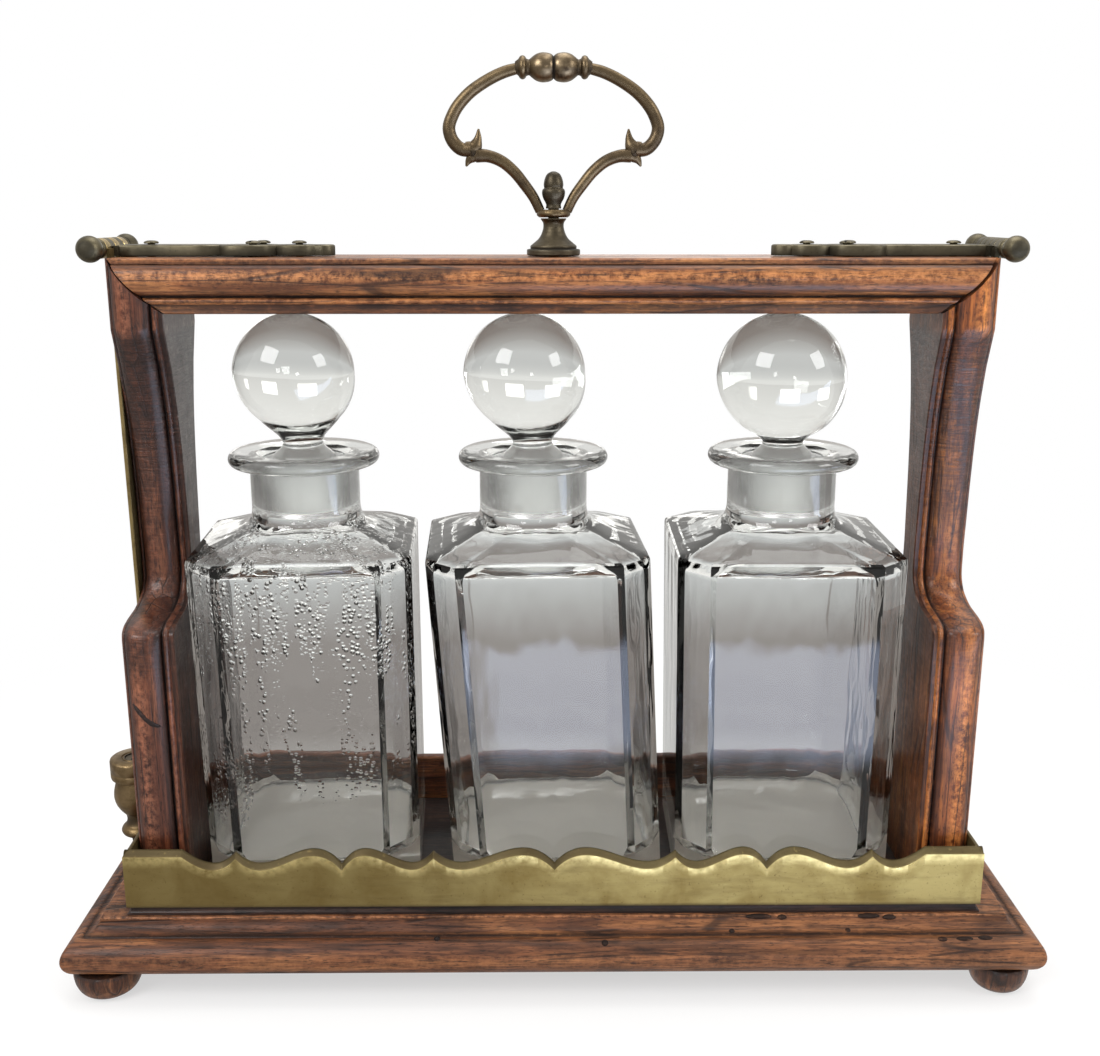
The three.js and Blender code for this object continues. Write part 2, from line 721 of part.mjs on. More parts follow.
// Knuckles of a barrel along Y: every second one belongs to the same strap
function knuckles(first, holeRadius) {
  const pitch = barrelLength / barrelKnuckles;
  const bars = [];
  for (let i = first; i < barrelKnuckles; i += 2) {
    const front = -barrelLength / 2 + i * pitch + knuckleGap / 2;
    const back = front + pitch - knuckleGap;
    const bar = roundBar(barrelRadius, front, back, barrelSides).rotateX(-Math.PI / 2);
    bars.push({ bar, front, back });
  }
  const bore = roundBar(holeRadius, -barrelLength, barrelLength, smallSides).rotateX(-Math.PI / 2);
  return { bars, bore };
}

// Outline of a strap from the barrel inwards, as shares of its length and half width: a long root,
// a broad leaf, a smaller one and a rounded tip
const strapOutlineShares = [
  [0, 0.71], [0.44, 0.71], [0.475, 0.6], [0.505, 0.86], [0.56, 1], [0.64, 1], [0.695, 0.86],
  [0.735, 0.45], [0.77, 0.64], [0.83, 0.71], [0.88, 0.6], [0.91, 0.36], [0.95, 0.44], [0.985, 0.3],
];

// Lobed outline of a strap that lies along the bar, from the barrel inwards
function strapShape(start) {
  const side = profileOf(strapOutlineShares.map(([along, out]) => [out, along]), strapHalfWidth, strapLength, start);
  const near = side.map(([out, along]) => new THREE.Vector2(along, -out));
  const far = side.map(([out, along]) => new THREE.Vector2(along, out)).reverse();
  return new THREE.Shape([...near, new THREE.Vector2(start + strapLength, 0), ...far]);
}

// Places of a strap's screws from its root, as shares of its length and half width
const strapScrewShares = [[0.14, 0], [0.625, -0.36], [0.655, 0.36], [0.833, 0]];

function strapScrewPlaces() {
  return strapScrewShares.map(([along, out]) => [strapStart + along * strapLength, out * strapHalfWidth]);
}

// Strap with its knuckles: the axis is the Y axis, and the strap runs along +X below it
function strapGeometry() {
  const bottom = -barrelRise + seatGap;
  const top = bottom + strapThick;
  const plate = plateAlongZ(strapShape(strapStart), bottom, top, 4);
  const { bars, bore } = knuckles(1, pinRadius + pinGap);
  const tabs = bars.map(({ front, back }) => (
    boxBetween([barrelRadius * 0.3, front, bottom], [strapStart + cutOverrun, back, top])
  ));
  const holes = strapScrewPlaces().map(([x, y]) => (
    roundBar(screwShankRadius + seatGap, bottom - cutOverrun, top + cutOverrun, holeSides).translate(x, y, 0)
  ));
  return cut(joined(plate, ...tabs, ...bars.map(({ bar }) => bar)), bore, ...holes);
}

// A plate that hangs from the barrel down the upright's outer face, with its knuckles
function hangingPlate(thick, inner, length, halfTop, halfBottom) {
  const plateTop = -barrelRadius - knuckleGap * 2;
  const shape = new THREE.Shape();
  shape.moveTo(-halfTop, plateTop);
  shape.lineTo(-halfBottom, plateTop - length + halfBottom);
  shape.absarc(0, plateTop - length + halfBottom, halfBottom, Math.PI, 2 * Math.PI, false);
  shape.lineTo(halfTop, plateTop);
  const plate = new THREE.ExtrudeGeometry(shape, { depth: thick, bevelEnabled: false, curveSegments: 8 });
  plate.rotateX(Math.PI / 2).rotateZ(Math.PI / 2).translate(inner, 0, 0);
  const { bars, bore } = knuckles(0, pinRadius + pinGap);
  const tabs = bars.map(({ front, back }) => (
    boxBetween([inner, front, plateTop - cutOverrun], [inner + thick, back, 0])
  ));
  return cut(joined(plate, ...tabs, ...bars.map(({ bar }) => bar)), bore);
}

// Ring of a finial, over the ball's radius
const finialRingShare = 0.8;

// Pin with a ring and a ball finial at each end, along Y
function pinGeometry() {
  const half = barrelLength / 2 + knuckleGap;
  const ring = half + finialRingWidth;
  const neck = ring + finialNeckLength;
  const ringRadius = finialRingShare * finialBallRadius;
  const centre = neck + finialRingShare * finialBallRadius;
  const end = [[pinRadius, half], [ringRadius, half], [ringRadius, ring]];
  end.push([finialNeckRadius, ring + finialRingWidth / 2], [finialNeckRadius, neck]);
  const steps = 5;
  for (let i = 1; i < steps; i += 1) {
    const angle = Math.PI * (0.2 + (0.8 * i) / steps);
    end.push([finialBallRadius * Math.sin(angle), centre - finialBallRadius * Math.cos(angle)]);
  }
  end.push([0, centre + finialBallRadius]);
  const other = end.map(([radius, height]) => [radius, -height]).reverse();
  return turned(other.concat(end), smallSides).rotateX(-Math.PI / 2);
}

// Places of the hinge leaf's screws below the axis, as shares of its half width and length
const leafScrewShares = [[-0.5, 0.25], [0.5, 0.25], [-0.35, 0.75], [0.35, 0.75]];

function leafScrewPlaces() {
  return leafScrewShares.map(([across, down]) => [across * leafHalfWidth, -barrelRadius - down * leafLength]);
}

// Domed head of a screw, as shares of its radius and height
const screwHeadShares = [[1, 0], [0.8, 0.7], [0, 1]];

// A round-headed screw, its head at the top
function screwGeometry(length) {
  return turned([
    [0, -length], [screwShankRadius, -length + screwPointLength], [screwShankRadius, 0],
    ...profileOf(screwHeadShares, screwHeadRadius, screwHeadHeight),
  ], holeSides);
}

// Lock plug with its key slot, and below it the cam that turns into the staple's hook
function plugGeometry() {
  const top = lockTop - seatGap;
  const start = THREE.MathUtils.degToRad(-90 - camHalfAngle);
  const end = THREE.MathUtils.degToRad(-90 + camHalfAngle);
  const web = new THREE.Shape();
  web.moveTo(0, 0);
  web.lineTo(camOuterRadius * Math.cos(start), camOuterRadius * Math.sin(start));
  web.absarc(0, 0, camOuterRadius, start, end, false);
  const rim = new THREE.Shape();
  rim.absarc(0, 0, camOuterRadius, start, end, false);
  rim.absarc(0, 0, camOuterRadius - camThick, end, start, true);
  const rimBottom = stapleZ + stapleHeight / 2 - stapleNotchDepth + camGap;
  return cut(
    joined(
      roundBar(plugRadius, chamberTop + camGap / 2, top, barrelSides),
      roundBar(plugStemRadius, camWebBottom, chamberTop + camWebThick),
      plateAlongZ(web, camWebBottom, camWebBottom + camWebThick, 6),
      plateAlongZ(rim, rimBottom, camWebBottom + camWebThick / 2, 6),
    ),
    boxBetween(
      [-keySlotWidth / 2, -plugRadius * 0.75, top - keySlotDepth],
      [keySlotWidth / 2, plugRadius * 0.75, top + cutOverrun],
    ),
  );
}

// A box that lets the staple through with clearance all round, from X = 0 to the given reach
function stapleWindow(reach, height) {
  const halfWidth = stapleWidth / 2 + stapleClearance;
  const halfHeight = stapleHeight / 2 + stapleClearance;
  return boxBetween([0, -halfWidth, height - halfHeight], [reach, halfWidth, height + halfHeight]);
}

// Heights of the lock case's turned forms, from its foot, as shares of its height
const lockStemShare = 0.15;
const lockBeadShare = 0.24;
const lockWaistShare = 0.37;
const lockBellyShare = 0.59;
const lockRimShare = 0.12;

// Turned lock case: a thick head, a round belly, a waist, a bead and a stem
function lockCaseGeometry() {
  const low = lockTop - lockBodyHeight;
  const at = (share) => low + share * lockBodyHeight;
  const headBottom = lockTop - lockHeadHeight;
  const profile = [
    [0, low], [lockStemRadius, low], [lockStemRadius, at(lockStemShare)],
    [lockBeadRadius, at(lockBeadShare)], [0.8 * lockBeadRadius, at(0.3)],
    [lockWaistRadius, at(lockWaistShare)], [0.8 * lockBellyRadius, at(0.47)],
    [lockBellyRadius, at(lockBellyShare)], [0.95 * lockBellyRadius, at(0.69)],
    [lockNeckRadius, headBottom - seatGap * 2], [lockNeckRadius, headBottom],
    [0.96 * lockHeadRadius, headBottom],
    [lockHeadRadius, headBottom + lockRimShare * lockHeadHeight],
    [lockHeadRadius, lockTop - lockRimShare * lockHeadHeight], [0.95 * lockHeadRadius, lockTop], [0, lockTop],
  ];
  const bore = roundBar(plugRadius + 2 * pinGap, stapleZ, lockTop + cutOverrun, barrelSides);
  const chamber = roundBar(chamberRadius, chamberBottom, chamberTop, barrelSides);
  const window = stapleWindow(lockHeadRadius + cutOverrun, stapleZ);
  return cut(turned(profile, barrelSides), bore, chamber, window);
}

// Flat staple let into the upright, with the open-topped notch that the cam turns into
function stapleGeometry() {
  const notchIn = -lockX + camOuterRadius + camGap;
  const notchOut = -lockX + camOuterRadius - camThick - camGap;
  const tip = notchOut - stapleHookThick;
  const plate = boxBetween(
    [tip, -stapleWidth / 2, stapleZ - stapleHeight / 2],
    [-frameHalfWidth + stapleTang, stapleWidth / 2, stapleZ + stapleHeight / 2],
  );
  const notch = boxBetween(
    [notchOut, -stapleWidth, stapleZ + stapleHeight / 2 - stapleNotchDepth],
    [notchIn, stapleWidth, stapleZ + stapleHeight],
  );
  return cut(plate, notch);
}

// Right end: the hinge that the bar swings on
function makeHinge(bar) {
  const inner = frameHalfWidth + seatGap - axisX;
  const leaf = hangingPlate(leafThick, inner, leafLength, leafHalfWidth, leafHalfWidth * leafTaper);
  const holes = leafScrewPlaces().map(([y, z]) => (
    roundBar(screwShankRadius + seatGap, -cutOverrun, leafThick + cutOverrun, holeSides)
      .rotateY(Math.PI / 2).translate(inner, y, z)
  ));
  const fixed = new THREE.Group();
  fixed.position.set(axisX, 0, axisZ);
  tantalus.add(fixed);
  addPart(fixed, 'hinge_leaf', cut(leaf, ...holes), brassDull);
  addPart(fixed, 'hinge_pin', pinGeometry(), brassDull);
  leafScrewPlaces().forEach(([y, z], i) => {
    const screw = addPart(fixed, `hinge_leaf_screw_${i + 1}`, screwGeometry(leafScrewLength), brassDull);
    screw.rotation.y = Math.PI / 2;
    screw.position.set(inner + leafThick + seatGap, y, z);
  });
  const swinging = new THREE.Group();
  swinging.position.set(axisX, 0, axisZ);
  swinging.rotation.z = Math.PI;
  bar.add(swinging);
  addStrap(swinging, 'hinge_strap');
}

// A strap and the screws that hold it on the bar
function addStrap(parent, name) {
  const top = -barrelRise + seatGap + strapThick;
  addPart(parent, name, strapGeometry(), brassDull);
  strapScrewPlaces().forEach(([x, y], i) => {
    const screw = addPart(parent, `${name}_screw_${i + 1}`, screwGeometry(strapScrewLength), brassDull);
    screw.position.set(x, y, top + seatGap);
  });
}

// Left end: the hasp arm with its lock, hinged to its own strap on the bar
function makeHasp(bar) {
  const strapGroup = new THREE.Group();
  strapGroup.position.set(-axisX, 0, axisZ);
  bar.add(strapGroup);
  addStrap(strapGroup, 'hasp_strap');
  addPart(strapGroup, 'hasp_pin', pinGeometry(), brassDull);

  const inner = frameHalfWidth + seatGap - axisX;
  const length = axisZ - barrelRadius - 2 * knuckleGap - galleryTop - armEndClearance;
  const plate = mirrored(hangingPlate(armThick, inner, length, armHalfWidth, armHalfWidth * armTaper));
  const opening = stapleWindow(barrelRadius + cutOverrun, stapleZ - axisZ);
  const arm = new THREE.Group();
  arm.position.set(-axisX, 0, axisZ);
  tantalus.add(arm);
  addPart(arm, 'hasp_arm', cut(plate, opening), brassDull);

  const lock = new THREE.Group();
  lock.position.set(-lockX, 0, 0);
  tantalus.add(lock);
  addPart(lock, 'lock_case', lockCaseGeometry(), brassLock);
  addPart(lock, 'lock_plug', plugGeometry(), steelDark);
  addPart(tantalus, 'lock_staple', stapleGeometry(), steelDark);
}

// Post under the handle, as shares of its foot's radius and of its height: a disc with a step,
// a bell, a waist and a collar
const postShares = [
  [0, 0], [1, 0], [1, 0.08], [0.86, 0.16], [0.72, 0.26],
  [0.49, 0.45], [0.38, 0.62], [0.36, 0.76], [0.47, 1], [0, 1],
];

// Post for the handle, with a stud up through the hub
function postGeometry() {
  const foot = frameTop + seatGap;
  const body = turned(profileOf(postShares, postFootRadius, postHeight - seatGap, foot), barrelSides);
  const stud = roundBar(studRadius, frameTop - studLength, acornBottom + acornNeckHeight + acornCupHeight);
  return joined(body, stud);
}

// The acorn's cup, and the nut above it, as shares of the cup's radius and of each one's height
const acornCupShares = [[0.85, 0.3], [1, 0.7], [1, 1]];
const acornNutShares = [[0.86, 0], [0.83, 0.35], [0.62, 0.7], [0.2, 0.93], [0, 1]];

// Acorn nut on top of the hub: a neck, a cup with a rim, and the nut's domed end
function acornGeometry() {
  const cupBottom = acornBottom + acornNeckHeight;
  const cupTop = cupBottom + acornCupHeight;
  const body = turned([
    [0, acornBottom], [acornNeckRadius, acornBottom], [acornNeckRadius, cupBottom],
    ...profileOf(acornCupShares, acornCupRadius, acornCupHeight, cupBottom),
    ...profileOf(acornNutShares, acornCupRadius, acornBottom + acornHeight - cupTop, cupTop),
  ], barrelSides);
  const bore = roundBar(studRadius + pinGap, acornBottom - cutOverrun, cupTop + pinGap);
  return cut(body, bore);
}

// Right half of the handle's line, hub to grip, as shares of its half width and rise
const handleLineShares = [
  [0.125, 0.245], [0.185, 0.317], [0.27, 0.387], [0.372, 0.459], [0.492, 0.514], [0.612, 0.539],
  [0.733, 0.548], [0.835, 0.572], [0.925, 0.613], [0.965, 0.683], [0.925, 0.757], [0.802, 0.852],
  [0.626, 0.927], [0.441, 0.978], [0.291, 1],
];

// Ends of the two spurs on each scroll, root and point, as shares of the same sizes
const spurShares = [[[0.765, 0.57], [0.693, 0.678]], [[0.74, 0.548], [0.807, 0.49]]];

// Hub ring with rounded edges, as shares of its radius and height
const hubShares = [[0, 0], [0.85, 0], [1, 0.3], [1, 0.7], [0.85, 1], [0, 1]];

// Cast handle: a hub ring, two scrolled arms with spurs, and a beaded grip
function handleGeometry() {
  const at = ([x, z]) => new THREE.Vector3(x * handleHalfWidth, 0, frameTop + z * handleRise);
  const line = new THREE.CatmullRomCurve3(handleLineShares.map(at), false, 'centripetal');
  const section = new THREE.Shape();
  section.absarc(0, 0, handleBarRadius, 0, 2 * Math.PI, false);
  const tube = new THREE.ExtrudeGeometry(section, {
    extrudePath: line, steps: 22, curveSegments: 4, bevelEnabled: false,
  });
  const spurs = spurShares.map(([root, point]) => {
    const from = at(root);
    const along = at(point).sub(from);
    const spur = spurGeometry(along.length());
    const lean = new THREE.Quaternion().setFromUnitVectors(new THREE.Vector3(0, 0, 1), along.normalize());
    spur.applyQuaternion(lean);
    return spur.translate(from.x, from.y, from.z);
  });
  const half = [tube, ...spurs];
  const grip = turned(gripProfile(), smallSides).rotateY(Math.PI / 2).translate(0, 0, frameTop + handleRise);
  const hub = turned(profileOf(hubShares, hubRadius, hubHeight, hubBottom), barrelSides);
  const bore = roundBar(studRadius + pinGap, hubBottom - cutOverrun, hubBottom + hubHeight + cutOverrun);
  return cut(joined(hub, grip, ...half, ...half.map(mirrored)), bore);
}

// Curved taper of a spur, as shares of its radius and length
const spurTaperShares = [[0, 0], [1, 0], [0.8, 0.45], [0.22, 1], [0, 1]];

function spurGeometry(length) {
  return turned(profileOf(spurTaperShares, spurRadius, length), holeSides);
}

// Collar of the grip from the arm inwards, as shares of its radius: radius, and distance from the
// collar's middle
const gripCollarShares = [[0.9, -0.25], [1, 0], [0.6, 0.5]];
const gripBeadReachShare = 0.78;

// Profile of the grip along its length: two big beads between collars
function gripProfile() {
  const reach = gripBeadReachShare * gripBeadRadius;
  const collar = -gripHalfLength + gripCollarWidth;
  const profile = [[0, -gripHalfLength], [handleBarRadius, -gripHalfLength]];
  profile.push([handleBarRadius, collar - gripCollarRadius / 2]);
  profile.push(...profileOf(gripCollarShares, gripCollarRadius, gripCollarRadius, collar));
  const steps = 4;
  for (let i = 0; i <= steps; i += 1) {
    const angle = Math.PI * (0.14 + (0.72 * i) / steps);
    profile.push([gripBeadRadius * Math.sin(angle), -reach * (1 + Math.cos(angle))]);
  }
  const mirror = profile.map(([radius, along]) => [radius, -along]).reverse();
  return profile.concat(mirror);
}

function makeBar() {
  const bar = new THREE.Group();
  tantalus.add(bar);
  addPart(bar, 'top_bar', topBarGeometry(), oakBar);
  addPart(bar, 'handle_post', postGeometry(), brassHandle);
  addPart(bar, 'acorn_nut', acornGeometry(), brassHandle);
  addPart(bar, 'handle', handleGeometry(), brassHandle);
  makeHinge(bar);
  makeHasp(bar);
}

makeBase();
makeGallery();
makeBackRail();
makeUprights();
makeDecanters();
makeBar();

export default tantalus;
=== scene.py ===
# A tantalus: an oak frame that locks three glass decanters under a hinged top bar.
# Metres, +Z up, +X to the right, and the front faces -Y. The origin is on the surface
# that the feet stand on, under the middle of the base.
import math

import bmesh
import bpy
import numpy as np
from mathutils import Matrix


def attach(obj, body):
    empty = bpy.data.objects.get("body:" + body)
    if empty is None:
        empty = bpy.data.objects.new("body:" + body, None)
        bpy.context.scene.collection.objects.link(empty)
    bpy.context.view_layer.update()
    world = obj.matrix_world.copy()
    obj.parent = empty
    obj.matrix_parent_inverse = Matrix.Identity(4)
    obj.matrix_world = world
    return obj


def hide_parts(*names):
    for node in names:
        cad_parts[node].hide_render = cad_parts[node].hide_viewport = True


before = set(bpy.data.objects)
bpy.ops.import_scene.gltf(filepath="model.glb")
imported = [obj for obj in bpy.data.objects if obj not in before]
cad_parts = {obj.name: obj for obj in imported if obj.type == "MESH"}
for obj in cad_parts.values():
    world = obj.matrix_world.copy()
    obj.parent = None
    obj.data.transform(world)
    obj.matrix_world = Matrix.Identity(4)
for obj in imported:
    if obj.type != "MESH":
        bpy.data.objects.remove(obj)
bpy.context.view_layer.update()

scene = bpy.context.scene
scene.view_settings.view_transform = "Standard"

# The camera stands in front of the middle, a little above the bar, and looks down at the
# gallery, as the photograph was taken.
camera_place = (-0.00505, -0.4555, 0.2770)
camera_down = 14.15
camera_aside = 0.48
camera = bpy.data.objects.new("camera", bpy.data.cameras.new("camera"))
camera.data.sensor_width = 36
camera.data.lens = 41.27
camera.data.clip_start = 0.01
camera.location = camera_place
camera.rotation_euler = (math.radians(90 - camera_down), 0, math.radians(-camera_aside))
scene.collection.objects.link(camera)
scene.camera = camera

# Room: a white backdrop for the eye, and for the glass and brass a room that is bright
# behind the object and darker at its sides and in front, as a real room is.
def node(tree, kind, settings=None, **inputs):
    """Adds one shader node. Each input is a fixed value, a colour of three numbers, or an output socket
    to link from. It is called by its name, or by its number as in i0."""
    made = tree.nodes.new(kind)
    for key, value in (settings or {}).items():
        setattr(made, key, value)
    for key, value in inputs.items():
        numbered = key[0] == "i" and key[1:].isdigit()
        socket = made.inputs[int(key[1:]) if numbered else key.replace("_", " ")]
        if isinstance(value, bpy.types.NodeSocket):
            tree.links.new(value, socket)
        elif socket.type == "RGBA":
            socket.default_value = (*value, 1)
        else:
            socket.default_value = value
    return made


def math_of(tree, operation, *values):
    """One step of arithmetic on one, two or three values."""
    inputs = {f"i{number}": value for number, value in enumerate(values)}
    return node(tree, "ShaderNodeMath", {"operation": operation}, **inputs).outputs[0]


def times(tree, first, second):
    """Two values multiplied."""
    return math_of(tree, "MULTIPLY", first, second)


def plus(tree, value, other, amount=1.0):
    """A value with an amount of another one added."""
    return math_of(tree, "ADD", value, times(tree, other, amount))


def ramp(tree, value, low, high, steep="LINEAR"):
    """0 below low, 1 above high, and a straight or eased rise between them."""
    settings = {"interpolation_type": steep}
    made = node(tree, "ShaderNodeMapRange", settings, Value=value, From_Min=low, From_Max=high)
    return made.outputs["Result"]


def blend(tree, share, first, second):
    """One colour at share 0 and the other at share 1."""
    return node(tree, "ShaderNodeMix", {"data_type": "RGBA"}, i0=share, i6=first, i7=second).outputs[2]


world = bpy.data.worlds.new("room")
scene.world = world
world.use_nodes = True
room = world.node_tree
room.nodes.clear()
toward = node(room, "ShaderNodeTexCoord").outputs["Generated"]
toward = node(room, "ShaderNodeSeparateXYZ", Vector=toward).outputs
behind = ramp(room, toward["Y"], -0.9, 0.3, "SMOOTHSTEP")
walls = blend(room, behind, (0.46, 0.45, 0.44), (0.92, 0.905, 0.87))
upper = math_of(room, "MULTIPLY_ADD", ramp(room, toward["Z"], -0.2, 0.5), 0.3, 0.75)
panes = ramp(room, math_of(room, "SINE", times(room, toward["X"], 15.0)), 0.1, 0.3)
panes = times(room, panes, ramp(room, toward["Y"], 0.85, 0.90))
off_horizon = math_of(room, "ABSOLUTE", math_of(room, "SUBTRACT", toward["Z"], 0.06))
panes = times(room, panes, ramp(room, off_horizon, 0.08, 0.05))
brightness = plus(room, upper, panes, 1.6)
round_about = node(room, "ShaderNodeBackground", Color=walls, Strength=brightness).outputs[0]
backdrop = node(room, "ShaderNodeBackground", Color=(1, 1, 1)).outputs[0]
seen = node(room, "ShaderNodeLightPath").outputs["Is Camera Ray"]
choose = node(room, "ShaderNodeMixShader", Fac=seen, i1=round_about, i2=backdrop).outputs[0]
node(room, "ShaderNodeOutputWorld", Surface=choose)


def soft_lamp(name, place, target, width, watts):
    """A square lamp of the given width at a place, turned so that its face looks at the target."""
    lamp = bpy.data.objects.new(name, bpy.data.lights.new(name, "AREA"))
    lamp.data.size = width
    lamp.data.energy = watts
    way = np.array(target, float) - np.array(place, float)
    flat = math.hypot(way[0], way[1])
    lamp.rotation_euler = (math.atan2(flat, -way[2]), 0, math.atan2(-way[0], way[1]))
    lamp.location = place
    scene.collection.objects.link(lamp)


soft_lamp("window_left", (-0.9, -0.9, 1.1), (0, 0, 0.15), 0.7, 13)
soft_lamp("window_right", (1.1, -0.5, 0.8), (0, 0, 0.15), 0.5, 6)
soft_lamp("ceiling", (0.1, 0.2, 1.4), (0, 0, 0.15), 1.0, 9)
soft_lamp("far_window", (-0.9, -2.3, 0.75), (0, 0, 0.2), 0.35, 3)
soft_lamp("near_window", (0.55, -2.2, 0.45), (0, 0, 0.2), 0.22, 1.5)

# Table top: one pale plane that keeps the object's shadow. The eye sees it white. Rays that come
# through glass see the tones of a room in it, one set for the stoppers' balls and one for the bottles,
# and glossy faces see it grey, with a window's light in front at the right.
floor_mesh = bpy.data.meshes.new("table_top")
floor_mesh.from_pydata([(-4, -4, 0), (4, -4, 0), (4, 4, 0), (-4, 4, 0)], [], [(0, 1, 2, 3)])
table_top = bpy.data.objects.new("table_top", floor_mesh)
scene.collection.objects.link(table_top)
pale = bpy.data.materials.new("pale_table")
pale.use_nodes = True
table = pale.node_tree
table.nodes.clear()
table_at = node(table, "ShaderNodeTexCoord").outputs["Object"]
table_far = node(table, "ShaderNodeVectorMath", {"operation": "LENGTH"}, i0=table_at).outputs["Value"]
table_xy = node(table, "ShaderNodeSeparateXYZ", Vector=table_at).outputs
ways = node(table, "ShaderNodeLightPath").outputs
by_eye = ramp(table, table_far, 0.16, 0.42, "SMOOTHSTEP")
by_eye = math_of(table, "MULTIPLY_ADD", by_eye, 0.42, 0.58)


def tones(nearest, *further):
    """A colour that changes with the distance back: the nearest one, and then each further one, which
    comes in between its two distances."""
    colour = nearest
    for start, end, tone in further:
        colour = blend(table, ramp(table, table_xy["Y"], start, end), colour, tone)
    return colour


mirrored = tones(
    (0.42, 0.40, 0.38), (0.09, 0.17, (0.125, 0.098, 0.086)), (0.32, 0.47, (0.46, 0.47, 0.47)),
    (0.50, 0.66, (0.76, 0.76, 0.75)),
)
seen_in_ball = tones((0.15, 0.115, 0.095), (0.25, 0.60, (0.55, 0.55, 0.54)), (0.9, 2.4, (0.88, 0.87, 0.84)))
in_ball = math_of(table, "LESS_THAN", ways["Transmission Depth"], 2.5)
through = blend(table, in_ball, mirrored, seen_in_ball)
beside = ramp(table, table_xy["X"], -0.04, 0.0, "SMOOTHSTEP")
window = times(table, beside, ramp(table, table_xy["Y"], -0.20, -0.26, "SMOOTHSTEP"))
window = times(table, window, ramp(table, table_xy["Y"], -0.60, -0.52, "SMOOTHSTEP"))
glossy = blend(table, beside, (0.42, 0.40, 0.38), (0.78, 0.78, 0.76))
glossy = blend(table, window, glossy, (4.2, 4.8, 6.2))
tone = blend(table, ways["Is Transmission Ray"], glossy, through)
tone = blend(table, ways["Is Camera Ray"], tone, (1, 1, 1))
others = math_of(table, "MAXIMUM", ways["Is Transmission Ray"], ways["Is Glossy Ray"])
others = times(table, others, 0.88)
share = node(table, "ShaderNodeMix", i0=ways["Is Camera Ray"], i2=others, i3=by_eye).outputs[0]
table_face = node(table, "ShaderNodeBsdfDiffuse", Color=(0.86, 0.86, 0.86)).outputs[0]
table_glow = node(table, "ShaderNodeEmission", Color=tone).outputs[0]
table_mix = node(table, "ShaderNodeMixShader", Fac=share, i1=table_face, i2=table_glow).outputs[0]
node(table, "ShaderNodeOutputMaterial", Surface=table_mix)
floor_mesh.materials.append(pale)


# Base board: one oak board with a half-round nose, a thin quirk and a hollow above it on all
# four edges. It was planed from the solid, stained and polished, and is worn at its edges.
def stretched(tree, stretch, shift=(0, 0, 0)):
    """Object coordinates in millimetres, divided along each axis by how far a pattern is drawn out."""
    where = node(tree, "ShaderNodeTexCoord").outputs["Object"]
    scale = tuple(1000 / value for value in stretch)
    return node(tree, "ShaderNodeMapping", Vector=where, Scale=scale, Location=shift).outputs["Vector"]


def noise(tree, where, size, detail=3.0, rough=0.55, bent=0.0):
    """Soft noise whose cells are about size millimetres wide."""
    made = node(tree, "ShaderNodeTexNoise", Vector=where, Scale=1 / size, Detail=detail, Roughness=rough,
                Distortion=bent)
    return made.outputs["Fac"]


def bare_material(name):
    """A material with only its output, and the marks on the mesh: wear, grime and painted light, rough, and
    dust and painted sheen.
    """
    material = bpy.data.materials.new(name)
    material.use_nodes = True
    tree = material.node_tree
    tree.nodes.clear()
    out = node(tree, "ShaderNodeOutputMaterial")
    marks = node(tree, "ShaderNodeAttribute", {"attribute_name": "marks"})
    parts = node(tree, "ShaderNodeSeparateColor", Color=marks.outputs["Color"]).outputs
    # The grime mark also carries painted shade, and on glass a painted pale foot; the dust mark also carries
    # a painted sheen.
    told = dict(wear=parts["Red"], grime_and_painted_light=parts["Green"], rough=parts["Blue"], dust_and_sheen=marks.outputs["Alpha"])
    return material, tree, out, told


def tint(tree, colour, share, most, tone):
    """A colour turned towards a tone, at most as far as is said."""
    return blend(tree, times(tree, share, most), colour, tone)


def drawn_out(along, here, across=1.0):
    """How far a pattern is drawn out along the named axis, and across it."""
    return [here if axis == along else across for axis in "xyz"]


